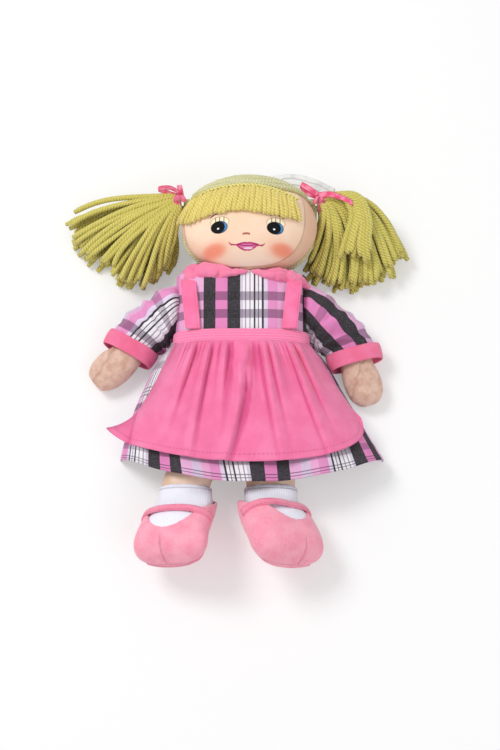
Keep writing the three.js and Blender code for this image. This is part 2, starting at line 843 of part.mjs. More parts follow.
function sock(leg) {
  const outside = join(sockTube(leg, gap + sockKnit, 0, sockKnit + gap), shoeSolid(leg, footBy));
  const inside = join(sockTube(leg, gap, 2, gap), shoeSolid(leg, footBy - sockKnit));
  return restOnFloor(offcutsGone(cut(outside, inside)));
}

function footStuffing(leg) {
  return offcutsGone(cut(shoeSolid(leg, footBy - sockKnit - gap), sockTube(leg, gap, 2, gap)));
}

// The room that the shoe leaves round the sock's top
const sockRoom = (leg) => sockTube(leg, 2 * gap + sockKnit, 2, sockKnit + 2 * gap);

// A solid made in the shoe's frame, in its place on the leg
const onShoe = (leg, geometry) => solidOf(geometry.applyMatrix4(shoeFrame(leg)));

function shoeUpper(leg) {
  const mouth = new THREE.CylinderGeometry(0.5, 0.5, shoeWidth, 24)
    .rotateX(Math.PI / 2)
    .scale(mouthWidth, mouthLength, 1)
    .translate(0, mouthMiddle, mouthHeight + shoeWidth / 2);
  const upper = cut(shoeSolid(leg, 0), shoeSolid(leg, -shoeFelt), onShoe(leg, mouth));
  return restOnFloor(offcutsGone(cut(upper, sockRoom(leg))));
}

function sole(leg) {
  const sections = shoeSections(0).map(({ at, across }) =>
    oval(
      point(at.x, at.y, -gap - soleThickness / 2),
      across.clone().setLength(across.length() + gap),
      point(0, 0, soleThickness / 2),
    ),
  );
  const plate = loft(moved(sections, shoeFrame(leg)), 16, 5);
  return restOnFloor(cut(plate, shoeSolid(leg, gap), sockRoom(leg)));
}

function shoeStrap(leg) {
  const half = shoeStrapWidth / 2;
  const block = new THREE.BoxGeometry(2 * shoeWidth, shoeStrapWidth, shoeWidth).translate(
    0,
    shoeStrapMiddle + half,
    mouthHeight + shoeWidth / 2,
  );
  const band = cut(shoeSolid(leg, gap + shoeStrapCloth), shoeSolid(leg, gap));
  return cut(common(band, onShoe(leg, block)), sockRoom(leg));
}

// Ribbon: a ring round the tied yarn, with two flat tails
function ribbon({ side, upperTurn, lowerTurn }) {
  const tie = tiePoint(side);
  const turn = radians((upperTurn + lowerTurn) / 2);
  const ring = (radius, width) =>
    solidOf(
      new THREE.CylinderGeometry(radius, radius, width, 16)
        .rotateZ(Math.PI / 2)
        .rotateZ(-side * turn)
        .translate(tie.x, tie.y, tie.z),
    );
  const outer = tieRadius * 1.25 + ribbonCloth;
  const tail = (rise) => {
    const length = ribbonTail;
    const flat = new THREE.BoxGeometry(length, ribbonTailWidth, ribbonCloth)
      .translate(side * (length / 2), 0, 0)
      .rotateZ(-side * rise)
      .translate(tie.x, tie.y, tie.z + outer - ribbonCloth / 2);
    return solidOf(flat);
  };
  return { ring, outer, tails: join(...ribbonTailTurns.map((degrees) => tail(radians(degrees)))) };
}

function hairRibbon(place) {
  const { ring, outer, tails } = ribbon(place);
  const head = headBall(hairDepth + 2 * gap);
  const bow = join(ring(outer, ribbonWidth), tails);
  return offcutsGone(cut(bow, pigtail(place, gap), head, headBall(fringeDepth + gap)));
}

// The assembly

const doll = new THREE.Group();
doll.name = "rag_doll";

function add(name, body, color, roughness = 0.9) {
  const { numProp, vertProperties, triVerts } = body.getMesh();
  const geometry = new THREE.BufferGeometry();
  const positions = new Float32Array((vertProperties.length / numProp) * 3);
  for (let i = 0; i * numProp < vertProperties.length; i++) {
    positions.set(vertProperties.subarray(i * numProp, i * numProp + 3), i * 3);
  }
  geometry.setAttribute("position", new THREE.BufferAttribute(positions, 3));
  geometry.setIndex(new THREE.BufferAttribute(triVerts, 1));
  geometry.computeVertexNormals();
  const material = new THREE.MeshStandardMaterial({ color, roughness, metalness: 0 });
  const mesh = new THREE.Mesh(geometry, material);
  mesh.name = name;
  doll.add(mesh);
}

add("torso_cover", torsoCover(), skinPink);
add("torso_stuffing", torsoStuffing(), fillingWhite);
add("neck", neck(), skinPink);
add("head_cover", headCover(), skinPink);
add("head_stuffing", headStuffing(), fillingWhite);
add("hair_cap", hairCap(), yarnGold);
add("hair_fringe", hairFringe(), yarnGold);
add("parting_stitch", partingStitch(), stitchGold);
add("sewn_label", sewnLabel(), labelWhite, 0.5);
add("dress_bodice", dressBodice(), plaidPink);
add("dress_skirt", dressSkirt(), plaidPink);
add("apron_skirt", apronSkirt(), apronPink);
add("apron_waistband", apronWaistband(), apronPink);
add("hip_seam", hipSeam(), skinPink);

for (const [name, place] of Object.entries(pigtails)) {
  add(`${name}_pigtail`, pigtail(place), yarnGold);
  add(`${name}_ribbon`, hairRibbon(place), ribbonPink, 0.6);
  add(`${name}_collar`, collarHalf(place.side), apronPink);
  add(`${name}_apron_strap`, apronStrap(place.side), apronPink);
}

for (const [name, arm] of Object.entries(arms)) {
  add(`${name}_arm_cover`, armCover(arm), handTan);
  add(`${name}_arm_stuffing`, armStuffing(arm), fillingWhite);
  add(`${name}_sleeve`, sleeve(arm), plaidPink);
  add(`${name}_cuff`, cuff(arm), apronPink);
}

for (const [name, leg] of Object.entries(legs)) {
  add(`${name}_leg_cover`, legCover(leg), skinPink);
  add(`${name}_leg_stuffing`, legStuffing(leg), fillingWhite);
  add(`${name}_foot_stuffing`, footStuffing(leg), fillingWhite);
  add(`${name}_sock`, sock(leg), sockWhite);
  add(`${name}_shoe_upper`, shoeUpper(leg), shoePink);
  add(`${name}_sole`, sole(leg), shoePink);
  add(`${name}_shoe_strap`, shoeStrap(leg), shoePink);
}

export default doll;
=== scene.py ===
import random
from math import acos, copysign, cos, exp, pi, radians, sin, sqrt

import bpy
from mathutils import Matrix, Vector, noise


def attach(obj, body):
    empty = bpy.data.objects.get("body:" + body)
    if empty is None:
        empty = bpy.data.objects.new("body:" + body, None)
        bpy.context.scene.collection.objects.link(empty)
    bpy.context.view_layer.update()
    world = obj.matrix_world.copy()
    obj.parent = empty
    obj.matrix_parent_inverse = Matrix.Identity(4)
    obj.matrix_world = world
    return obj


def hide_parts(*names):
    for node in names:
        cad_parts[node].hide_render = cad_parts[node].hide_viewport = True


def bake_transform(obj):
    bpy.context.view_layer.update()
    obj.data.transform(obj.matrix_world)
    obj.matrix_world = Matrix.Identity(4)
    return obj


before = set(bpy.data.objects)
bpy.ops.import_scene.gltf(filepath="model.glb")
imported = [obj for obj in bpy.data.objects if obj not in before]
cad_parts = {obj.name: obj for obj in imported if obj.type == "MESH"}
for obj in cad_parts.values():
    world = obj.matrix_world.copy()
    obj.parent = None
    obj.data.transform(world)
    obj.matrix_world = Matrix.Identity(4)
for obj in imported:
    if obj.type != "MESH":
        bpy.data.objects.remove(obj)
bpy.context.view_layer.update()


# ---------------------------------------------------------------- camera, lamps and table
# The doll lies on its back on a white table, seen from above and a little from its feet.
# Two wide soft lamps and a white surround light it evenly; the table keeps its shadow.
# The doll's sizes are in millimetres: x to its own left, y to its crown, z up from the table.
camera = bpy.data.objects.new("camera", bpy.data.cameras.new("camera"))
camera.data.lens = 64.5
camera.location = (0.008, -0.3525, 1.2374)
tilt_to_feet = radians(15)
camera.rotation_euler = (tilt_to_feet, 0, 0)
bpy.context.scene.collection.objects.link(camera)
bpy.context.scene.camera = camera
bpy.context.scene.view_settings.view_transform = "Standard"


def soft_lamp(name, place, power, size):
    """A square lamp that looks at the doll."""
    lamp = bpy.data.objects.new(name, bpy.data.lights.new(name, "AREA"))
    lamp.data.energy = power
    lamp.data.size = size
    lamp.location = place
    lamp.rotation_euler = (-Vector(place)).to_track_quat("-Z", "Y").to_euler()
    bpy.context.scene.collection.objects.link(lamp)


soft_lamp("window_lamp", (-0.85, 0.55, 1.5), 15.5, 0.6)
soft_lamp("fill_lamp", (0.9, -0.9, 1.3), 5.5, 1.2)

surround = bpy.data.worlds.new("surround")
surround.use_nodes = True
tree = surround.node_tree
even, plain = tree.nodes["Background"], tree.nodes.new("ShaderNodeBackground")
even.inputs["Color"].default_value = plain.inputs["Color"].default_value = (1, 1, 1, 1)
# The doll is lit by the even light; only the camera sees the plain white.
even.inputs["Strength"].default_value = 0.6
ray, either = tree.nodes.new("ShaderNodeLightPath"), tree.nodes.new("ShaderNodeMixShader")
tree.links.new(ray.outputs["Is Camera Ray"], either.inputs[0])
tree.links.new(even.outputs[0], either.inputs[1])
tree.links.new(plain.outputs[0], either.inputs[2])
tree.links.new(either.outputs[0], tree.nodes["World Output"].inputs["Surface"])
bpy.context.scene.world = surround


def dye(code):
    """A colour written as six hex digits, as the shader counts it."""
    parts = [int(code[k:k + 2], 16) / 255 for k in (0, 2, 4)]
    return tuple(p / 12.92 if p < 0.04045 else ((p + 0.055) / 1.055) ** 2.4 for p in parts) + (1.0,)


class Wire:
    """A value or colour on its way through a finish. Arithmetic on it adds Math nodes."""

    def __init__(self, tree, socket=None):
        self.tree = tree
        self.socket = socket

    def node(self, kind, settings, sockets, out=0):
        """Adds any node: its settings first, then the values or wires of its sockets."""
        made = self.tree.nodes.new("ShaderNode" + kind)
        for name, value in settings.items():
            if name == "stops":
                made.color_ramp.interpolation = "CONSTANT"
                spots = made.color_ramp.elements
                for k, (stop, tint) in enumerate(value):
                    spot = spots[k] if k < 2 else spots.new(stop)
                    spot.position, spot.color = stop, dye(tint)
            else:
                setattr(made, name, value)
        for name, value in sockets.items():
            self.plug(made.inputs[name], value)
        return Wire(self.tree, made.outputs[out])

    def plug(self, socket, value):
        if isinstance(value, Wire):
            self.tree.links.new(value.socket, socket)
        else:
            socket.default_value = dye(value) if isinstance(value, str) else value

    def maths(self, operation, first, second=0.0):
        return self.node("Math", {"operation": operation}, {0: first, 1: second})

    def __add__(self, other):
        return self.maths("ADD", self, other)

    def __sub__(self, other):
        return self.maths("SUBTRACT", self, other)

    def __rsub__(self, other):
        return self.maths("SUBTRACT", other, self)

    def __mul__(self, other):
        return self.maths("MULTIPLY", self, other)

    def __truediv__(self, other):
        return self.maths("DIVIDE", self, other)

    def __mod__(self, other):
        return self.maths("FLOORED_MODULO", self, other)

    def __pow__(self, other):
        return self.maths("POWER", self, other)

    def __abs__(self):
        return self.maths("ABSOLUTE", self)

    __radd__ = __add__
    __rmul__ = __mul__


def new_finish(name, roughness, sheen):
    """A matt cloth to start from, and a wire into its shader."""
    material = bpy.data.materials.new(name)
    material.use_nodes = True
    shader = material.node_tree.nodes["Principled BSDF"]
    shader.inputs["Roughness"].default_value = roughness
    shader.inputs["Specular IOR Level"].default_value = 0.25
    shader.inputs["Sheen Weight"].default_value = sheen
    return material, Wire(material.node_tree)


table_white, wire = new_finish("table_white", 0.9, 0.0)
shader = table_white.node_tree.nodes["Principled BSDF"]
shader.inputs["Base Color"].default_value = (0.95, 0.95, 0.95, 1)
glow = wire.node("Emission", {}, {"Color": (1, 1, 1, 1), "Strength": 1.0})
seen = wire.node("LightPath", {}, {}, "Is Camera Ray")
matt_white = Wire(table_white.node_tree, shader.outputs[0])
blend = seen.node("MixShader", {}, {0: seen * 0.3, 1: matt_white, 2: glow})
blend.plug(table_white.node_tree.nodes["Material Output"].inputs["Surface"], blend)
just_below = -0.0006
bpy.ops.mesh.primitive_plane_add(size=8, location=(0, 0, just_below))
table = bpy.context.object
table.name = "table"
table.data.materials.append(table_white)


# ---------------------------------------------------------------- stuffed body
# A calico bag, sewn round, turned and stuffed with fibre filling, under the dress.
# It is drawn in below the waist, where the hip seam lets the legs swing forward.
def alone(piece):
    """Selects this piece and nothing else."""
    bpy.ops.object.select_all(action="DESELECT")
    piece.select_set(True)
    bpy.context.view_layer.objects.active = piece


def worked(piece, kind, **settings):
    """Does one step of the work on a piece, for good."""
    alone(piece)
    step = piece.modifiers.new(kind, kind)
    for name, value in settings.items():
        setattr(step, name, value)
    bpy.ops.object.modifier_apply(modifier=step.name)


def cut_cloth(name, across, along, place):
    """Cuts a flat grid of cloth and lays each point where place puts it, in millimetres."""
    bpy.ops.object.select_all(action="DESELECT")
    bpy.ops.mesh.primitive_grid_add(x_subdivisions=across, y_subdivisions=along, size=1)
    piece = bpy.context.object
    piece.name = piece.data.name = name
    for point in piece.data.vertices:
        point.co = Vector(place(point.co.x + 0.5, point.co.y + 0.5)) / 1000
    return piece


def sew_shut(piece):
    """Sews edges that meet, and turns the right side out."""
    alone(piece)
    bpy.ops.object.mode_set(mode="EDIT")
    bpy.ops.mesh.select_all(action="SELECT")
    bpy.ops.mesh.remove_doubles(threshold=0.00001)
    bpy.ops.mesh.normals_make_consistent(inside=False)
    bpy.ops.object.mode_set(mode="OBJECT")


def dressed(piece, finish):
    """Gives a piece its finish and smooths its faces."""
    piece.data.materials.clear()
    piece.data.materials.append(finish)
    alone(piece)
    bpy.ops.object.shade_smooth()


def between(stations, share):
    """The smooth run through the stations: 0 is the first, 1 the last, evenly along it."""
    marks = [0.0]
    for near, far in zip(stations, stations[1:]):
        marks.append(marks[-1] + max(0.5, (Vector(far[:3]) - Vector(near[:3])).length))
    reach = min(max(share, 0.0), 1.0) * marks[-1]
    last = len(stations) - 1
    k = max(i for i in range(last) if marks[i] <= reach)
    span = marks[k + 1] - marks[k]
    t = (reach - marks[k]) / span

    def slope(i, n):
        low, high = max(i - 1, 0), min(i + 1, last)
        return (stations[high][n] - stations[low][n]) / (marks[high] - marks[low]) * span

    near, leaving = 2 * t ** 3 - 3 * t ** 2 + 1, t ** 3 - 2 * t ** 2 + t
    far, arriving = 3 * t ** 2 - 2 * t ** 3, t ** 3 - t ** 2
    return [
        near * stations[k][n] + leaving * slope(k, n) + far * stations[k + 1][n] + arriving * slope(k + 1, n)
        for n in range(len(stations[0]))
    ]


def on_ring(station, turn, squareness, by=0.0):
    """A point on the ring round a station: its middle, then half its width and half its depth.

    Nine numbers are three vectors. With six, the depth stands straight up from the table.
    """
    if len(station) == 6:
        station = (*station[:5], 0, 0, 0, station[5])
    middle, across, up = Vector(station[:3]), Vector(station[3:6]), Vector(station[6:9])
    c, s = cos(turn), sin(turn)
    c = copysign(abs(c) ** (2 / squareness), c) * (1 + by / max(across.length, 1))
    s = copysign(abs(s) ** (2 / squareness), s) * (1 + by / max(up.length, 1))
    return middle + across * c + up * s


def bag(name, stations, squareness=2.0, across=32, along=24, by=lambda u, v: 0.0):
    """Cloth rolled round the stations and drawn shut at both ends."""
    def place(u, v):
        row = round(v * along)
        station = between(stations, (row - 1) / (along - 2))
        if row in (0, along):
            return station[:3]
        return on_ring(station, 2 * pi * u, squareness, by(u, (row - 1) / (along - 2)))

    piece = cut_cloth(name, across, along, place)
    sew_shut(piece)
    return piece


def stuff(piece, cap, pressure=4.0):
    """Fills a bag: the cloth swells under the filling, each point by cap millimetres at most."""
    worked(piece, "REMESH", mode="VOXEL", voxel_size=0.003)
    start = [point.co.copy() for point in piece.data.vertices]
    cloth = piece.modifiers.new("cloth", "CLOTH")
    cloth.settings.use_pressure = True
    cloth.settings.uniform_pressure_force = pressure
    cloth.settings.effector_weights.gravity = 0
    steps = 20
    cloth.point_cache.frame_end = steps
    for step in range(1, steps + 1):
        bpy.context.scene.frame_set(step)
    swollen = piece.evaluated_get(bpy.context.evaluated_depsgraph_get()).data
    ends = [point.co.copy() for point in swollen.vertices]
    piece.modifiers.remove(cloth)
    bpy.context.scene.frame_set(1)
    for point, old, new in zip(piece.data.vertices, start, ends):
        move = new - old
        point.co = old + move * min(1.0, cap / 1000 / max(move.length, 1e-9))
    worked(piece, "SUBSURF", levels=1, render_levels=1)


def mixed(share, first, second, how="MIX"):
    """The first colour where share is 0, the second where it is 1."""
    return share.node("Mix", {"data_type": "RGBA", "blend_type": how}, {0: share, 6: first, 7: second}, 2)


def rise(value, low, high):
    """0 below low, 1 above high, smooth between."""
    ends = {"Value": value, "From Min": low, "From Max": high}
    return value.node("MapRange", {"interpolation_type": "SMOOTHSTEP"}, ends)


def wave(value, pitch):
    """Swings between -1 and 1, once in each pitch."""
    return value.node("Math", {"operation": "SINE"}, {0: value * (2 * pi / pitch)})


def millimetres(wire):
    """The place on the doll, as three numbers in millimetres."""
    place = wire.node("TexCoord", {}, {}, "Object")
    scaled = place.node("VectorMath", {"operation": "SCALE"}, {0: place, "Scale": 1000.0})
    return [scaled.node("SeparateXYZ", {}, {0: scaled}, axis) for axis in "XYZ"]


def mottle(wire, size, detail=3.0):
    """Soft patches of about this size in millimetres."""
    place = wire.node("TexCoord", {}, {}, "Object")
    return place.node("TexNoise", {}, {"Vector": place, "Scale": 1000.0 / size, "Detail": detail})


def colour_and_bump(material, colour, height, depth):
    """Ends a finish: its colour, and the relief of its surface, depth in millimetres."""
    shader = material.node_tree.nodes["Principled BSDF"]
    colour.plug(shader.inputs["Base Color"], colour)
    relief = height.node("Bump", {}, {"Strength": 1.0, "Distance": depth / 1000, "Height": height})
    relief.plug(shader.inputs["Normal"], relief)


def calico(name, light, deep):
    """Unbleached cotton: a fine even weave, a little patchy."""
    material, wire = new_finish(name, 0.85, 0.15)
    x, y, z = millimetres(wire)
    threads = wave(x + z * 0.7, 0.9) * wave(y - z * 0.7, 0.9)
    patches = mottle(wire, 14)
    tint = mixed(rise(patches, 0.3, 0.7), light, deep)
    colour_and_bump(material, tint, threads * 0.25 + patches * 2, 0.25)
    return material


square_corners = 3.2
body_calico = calico("body_calico", "f7dcc6", "f0cdb2")
body = bag("stuffed_body", [
    (0, -33, 24, 44, 0, 13),
    (0, -18, 28.7, 54, 0, 23),
    (0, -6, 30.2, 57, 0, 26),
    (0, 46, 30.2, 57, 0, 26),
    (0, 53, 29.2, 53, 0, 20),
    (0, 56, 29, 46, 0, 11),
], square_corners)
stuff(body, 1.2)
dressed(body, body_calico)
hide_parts("torso_cover", "torso_stuffing")
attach(body, "torso")

hips = bag("hip_gusset", [
    (0, -34.6, 24, 45, 0, 14),
    (0, -36.5, 24, 46.5, 0, 15),
    (0, -38.2, 24, 45, 0, 14),
], square_corners, 40, 8)
dressed(hips, body_calico)
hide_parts("hip_seam")
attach(hips, "lap")


# ---------------------------------------------------------------- head and neck
# A round stuffed head of peach cotton: a front panel with the painted face, and a
# side strip sewn round it, coloured darker as painted shade. It sits on a short stuffed neck.
head_middle = (7.5, 111.0, 48.3)
head_half = (64.0, 48.0, 43.0)
crown_half = 45.0


def head_place(u, v):
    tilt = pi * v
    ring = sin(tilt)
    x = head_middle[0] + head_half[0] * ring * cos(2 * pi * u)
    z = head_middle[2] + head_half[2] * ring * sin(2 * pi * u)
    y = head_middle[1] - (head_half[1] if v < 0.5 else crown_half) * cos(tilt)
    return x, y, z


head = cut_cloth("stuffed_head", 64, 40, head_place)
sew_shut(head)
worked(head, "SUBSURF", levels=1, render_levels=1)

face_cotton, wire = new_finish("face_cotton", 0.8, 0.06)
x, y, z = millimetres(wire)


def stripe(value, low, high, soft):
    """1 between low and high."""
    return rise(value, low - soft, low + soft) * (1 - rise(value, high - soft, high + soft))


def spot(middle, half, soft):
    """1 inside an oval of the face."""
    across = (x - middle[0]) / half[0]
    up = (y - middle[1]) / half[1]
    return 1 - rise(across * across + up * up, 1 - soft, 1 + soft)


def arc(middle, half_width, hang, thin, lean=0.0):
    """A thin painted curve: hang is how far its ends fall below its middle."""
    across = (x - middle[0]) / half_width
    line = y - middle[1] + across * across * hang - across * lean
    return (1 - rise(abs(line), thin * 0.5, thin)) * (1 - rise(abs(across), 0.9, 1.1))


face = mixed(rise(mottle(wire, 22), 0.25, 0.75), "fddfc6", "fbd5b8")
# Painted light: the face is painted paler towards the chin.
face = mixed(rise(y, 66, 80) * -0.55 + 0.55, face, "ffeedc")
# Each paint is its shape and its colour, in the order in which they go on.
paints = []
for cheek in ((-25.0, 78.4), (37.8, 78.4)):
    paints.append((spot(cheek, (14.4, 7.6), 0.95) * 0.32, "f9a07c"))
    paints.append((spot(cheek, (10.0, 4.9), 0.98) * 0.65, "f4714f"))
for ex, ey in ((-20.2, 96.4), (31.1, 95.2)):
    lid = [
        (spot((ex + 0.6, ey + 4.6), (8.8, 5.0), 0.15), "b59a80"),
        (spot((ex + 0.6, ey + 4.4), (8.2, 4.6), 0.15), "fdebcb"),
    ]
    for reach in (-3.3, 0.4, 4.4):
        lash = stripe(x, ex + reach - 0.35, ex + reach + 0.35, 0.25) * stripe(y, ey + 4.4, ey + 9, 0.4)
        lid.append((lash, "4a3a33"))
    paints += lid + [
        (spot((ex, ey), (7.8, 5.5), 0.1), "0c0d12"),
        (spot((ex + 1.1, ey), (6.3, 4.8), 0.12), "2b66a4"),
        (spot((ex + 5.2, ey + 0.3), (1.8, 3.0), 0.4) * 0.6, "5fa3d6"),
        (spot((ex - 0.9, ey), (6.1, 5.1), 0.12), "050608"),
        (spot((ex - 1.0, ey - 1.2), (1.0, 0.8), 0.4), "f4f8ff"),
    ]
brows_and_nose = [
    (arc((-23.3, 108.5), 5.4, 1.45, 0.8, 1.65), "4a332c"),
    (arc((32.7, 107.2), 6.4, 2.2, 0.8, -0.8), "4a332c"),
    (arc((4.6, 89.7), 3.4, 0.5, 1.1), "b8604c"),
]
lip = (x - 5.4) / 10.6
smile = y - (79.4 + lip * lip * 1.6)
full = 3.3 - lip * lip * 3.3 - 0.35 * rise(1 - abs(lip) * 6, 0, 1)
lips = 1 - rise(abs(smile) - full, -0.1, 0.5)
mouth = [
    (lips, "bf2f72"),
    (1 - rise(abs(smile) - full, -1.5, -0.9), "dd86b2"),
    ((1 - rise(abs(smile - 0.5), 0.25, 0.7)) * lips, "b0286e"),
    (spot((6.3, 78.0), (4.2, 0.9), 0.5) * 0.85, "fbdcec"),
    (arc((5.0, 80.0), 15.3, -1.1, 0.75, -0.5) * (1 - lips), "bf2f62"),
    (arc((-10.0, 81.9), 1.5, 0, 0.7, -1.3), "bf2f62"),
    (arc((20.0, 80.7), 1.5, 0, 0.7, 1.3), "bf2f62"),
]
for share, tint in paints + brows_and_nose + mouth:
    face = mixed(share, face, tint)
panel = (abs(x - 2.65) / 56.3) ** 2.5 + (abs(y - 111) / 45.5) ** 2.5
# The side strip round the panel is painted darker: painted shade on the sides of the head.
shaded_side_strip = 1 - (1 - rise(panel, 0.98, 1.02)) * rise(z, 46, 48)
face = mixed(shaded_side_strip, face, mixed(mottle(wire, 10), "f2cdb2", "e6b69a"))
seam = stripe(panel, 0.975, 1.015, 0.015) * rise(z, 46, 48)
face = mixed(seam * 0.4, face, "b98264")
relief = wave(x, 0.8) * wave(y, 0.8) * 0.15 + mottle(wire, 9) - seam * 2
colour_and_bump(face_cotton, face, relief, 0.3)
dressed(head, face_cotton)
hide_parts("head_cover", "head_stuffing")
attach(head, "head")

neck = bag("neck_bag", [
    (0, 44, 38, 9, 0, 9),
    (0, 50, 38, 15, 0, 15),
    (0, 60, 38, 13, 0, 13),
    (0, 71, 38, 12.5, 0, 12.5),
])
dressed(neck, body_calico)
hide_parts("neck")
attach(neck, "neck")


# ---------------------------------------------------------------- legs
# Two calico tubes, stuffed and sewn flat into the hip seam, ending inside the socks.
leg_rows = ((-40, 24.1, 6, 15), (-47.6, 24.1, 16.5, 17.3), (-60, 24.2, 20.5, 20.5),
            (-100.6, 24.2, 23.5, 20.5), (-134, 24.2, 22.3, 19.3), (-150, 27, 22, 16))
leg_places = {"right": (-24, -24, -24, -38.8, -51, -51), "left": (24, 24, 24, 25.7, 27, 27)}
nearly_round = 2.1
leg_calico = calico("leg_calico", "f3d9c3", "e6c2a6")
for side, places in leg_places.items():
    run = [(x, y, z, half, 0, depth) for x, (y, z, half, depth) in zip(places, leg_rows)]
    leg = bag(side + "_leg", run, nearly_round, 32, 30)
    stuff(leg, 0.8)
    dressed(leg, leg_calico)
    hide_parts(side + "_leg_cover", side + "_leg_stuffing")
    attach(leg, side + "_leg")


# ---------------------------------------------------------------- arms
# Calico tubes with mitten hands, stuffed, set into the shoulders. A gathered line of
# stitches puckers each hand.
arm_runs = {
    "right": [(-60, 36, 31, 0, 14, 14), (-78, 23.6, 28.8, -8, 13.9, 14),
              (-102, 5, 16.5, -13.9, 8, 11.4), (-109, -7.1, 16.5, -14, 9, 11.6),
              (-119.7, -16.1, 13.7, -11.9, 14.2, 12.6), (-132, -26.4, 12.5, -10.4, 12.4, 11.3),
              (-139, -32.5, 12.5, -6, 7.5, 7)],
    "left": [(60, 36, 31, 0, 14, 14), (79.2, 20.4, 28.8, 9.7, 12.7, 14),
             (105, -3, 16.5, 15.5, 4.1, 11.4), (108.6, -16.5, 16.5, 16, 4.4, 11.6),
             (113.4, -29.7, 13.7, 17.4, 6.3, 12.6), (118.9, -44.7, 12.5, 15.2, 5.5, 11.3),
             (122, -53, 12.5, 8.5, 3.1, 7)],
}
hand_calico, wire = new_finish("hand_calico", 0.85, 0.2)
x, y, z = millimetres(wire)
patches = mottle(wire, 7, 5)
tint = mixed(rise(patches, 0.3, 0.72), "f0cdbb", "dcae98")
right_line = abs((x + 123.5) * 0.86 + (y + 9.5) * -0.52 + wave(y, 11) * 0.9 + patches * 3 - 1.5)
right_pucker = (1 - rise(right_line, 0.2, 1.8)) * stripe(y, -34, 6, 1)
left_line = abs((x - 105.5) - (y + 40) * 0.32 + wave(y, 11) * 0.9 + patches * 3 - 1.5)
left_pucker = (1 - rise(left_line, 0.2, 1.8)) * stripe(y, -50, -14, 1)
pucker = right_pucker + left_pucker
# The pucker lines are painted darker: painted shade in their creases.
tint = mixed(pucker * 0.3, tint, "c08f76")
colour_and_bump(hand_calico, tint, patches * 1.6 + wave(x, 0.9) * wave(y, 0.9) * 0.2 - pucker * 1.4, 0.7)
for side, run in arm_runs.items():
    arm = bag(side + "_arm", run, nearly_round, 32, 36)
    stuff(arm, 0.9)
    dressed(arm, hand_calico)
    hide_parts(side + "_arm_cover", side + "_arm_stuffing")
    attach(arm, side + "_arm")


# ---------------------------------------------------------------- socks
# White jersey drawn over the stuffed feet: a fine rib round the ankle, plain in the shoe.
shoe_runs = {
    "right": [(-43.5, -138.6, 16, -14.2, 0, -6.9, -2.6, 4.6, 5.2),
              (-45.2, -140.6, 19.4, -22, 0, -10.7, -5.1, 9.1, 10.4),
              (-49.3, -148.1, 27.9, -27.7, 0, -13.5, -6.6, 11.7, 13.5),
              (-54.5, -162.5, 38.5, -29.6, 0, -14.4, -6.7, 12, 13.8),
              (-59.7, -177.7, 49.2, -31.5, 0, -15.3, -6.7, 12, 13.8),
              (-62.5, -190.8, 55, -33, 0, -16.1, -6.2, 11, 12.7),
              (-64, -200, 58, -28.5, 0, -13.9, -5, 9, 10.3),
              (-64.3, -204.3, 58.7, -18.5, 0, -9, -2.8, 5, 5.8)],
    "left": [(18.1, -138.6, 16.8, -12.7, 0, 9.3, 3.4, 4.6, 4.7),
             (20.4, -140.6, 19.9, -19.8, 0, 14.4, 6.8, 9.1, 9.4),
             (25.9, -148.1, 27.5, -24.9, 0, 18.1, 8.8, 11.7, 12.1),
             (32.9, -162.5, 37.1, -26.6, 0, 19.3, 9, 12, 12.4),
             (39.8, -177.7, 46.7, -28.3, 0, 20.6, 9, 12, 12.4),
             (43.6, -190.8, 51.9, -29.7, 0, 21.6, 8.2, 11, 11.4),
             (45.6, -200, 54.6, -25.7, 0, 18.6, 6.8, 9, 9.4),
             (46.1, -204.3, 55.3, -16.6, 0, 12.1, 3.8, 5.1, 5.3)],
}
ankle_runs = {"right": (-51, 24.5), "left": (27, 24.5)}


def joined(name, pieces):
    """Sews pieces into one."""
    alone(pieces[0])
    for piece in pieces:
        piece.select_set(True)
    bpy.ops.object.join()
    pieces[0].name = pieces[0].data.name = name
    return pieces[0]


sock_jersey, wire = new_finish("sock_jersey", 0.9, 0.2)
x, y, z = millimetres(wire)
rib = wave(x, 2.2)
cuff_line = stripe(y, -138.2, -137, 0.3)
# Painted highlight: the rib crests are painted paler, with patches of tone mixed in.
tint = mixed(rise(rib, -1, 1) * 0.5 + mottle(wire, 8) * 0.5, "e9e9f5", "f3f3fd")
tint = mixed(cuff_line * 0.5, tint, "b9b6c6")
colour_and_bump(sock_jersey, tint, rib * 0.3 + mottle(wire, 3) - cuff_line * 2, 0.25)
for side in ("right", "left"):
    middle, half = ankle_runs[side]
    ankle = bag("ankle", [
        (middle, -133.6, 24.2, half - 1.4, 0, 20),
        (middle, -134.2, 24.2, half, 0, 21.5),
        (middle, -150, 27.2, half - 0.4, 0, 18.5),
        (middle, -157, 28.2, half - 2, 0, 13.5),
    ], nearly_round, 40, 16)
    foot = bag("foot", shoe_runs[side][:7], nearly_round, 32, 24,
               lambda u, v: -4.6 + 2.8 * max(0, sin(2 * pi * u)))
    sock = joined(side + "_sock_foot", [ankle, foot])
    stuff(sock, 0.5, 3.0)
    dressed(sock, sock_jersey)
    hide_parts(side + "_sock", side + "_foot_stuffing")
    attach(sock, side + "_leg")


# ---------------------------------------------------------------- shoes
# Pink fleece bar shoes: an upper with an oval mouth and a seam down the toe, a padded
# sole sewn on below, and a narrow bar with two rows of stitches over the instep.
shoe_fleece, wire = new_finish("shoe_fleece", 0.95, 0.35)
pile = mottle(wire, 1.6, 4)
nap = mottle(wire, 12, 3)
tint = mixed(rise(nap, 0.3, 0.7), "fba5ba", "f591ab")
tint = mixed(rise(pile, 0.35, 0.75) * 0.3, tint, "ffc0cd")
x, y, z = millimetres(wire)
# Each shoe: its middle, then the ways across it, to the toe and out of its top.
shoe_frames = {
    "right": ((-45.5, -168, 20.2), (-0.899, 0, -0.438), (-0.27, -0.788, 0.553), (-0.345, 0.616, 0.708)),
    "left": ((20.9, -168, 20.6), (-0.809, 0, 0.588), (0.362, -0.788, 0.498), (0.463, 0.616, 0.638)),
}
on_right = 1 - rise(x, -12, -11)


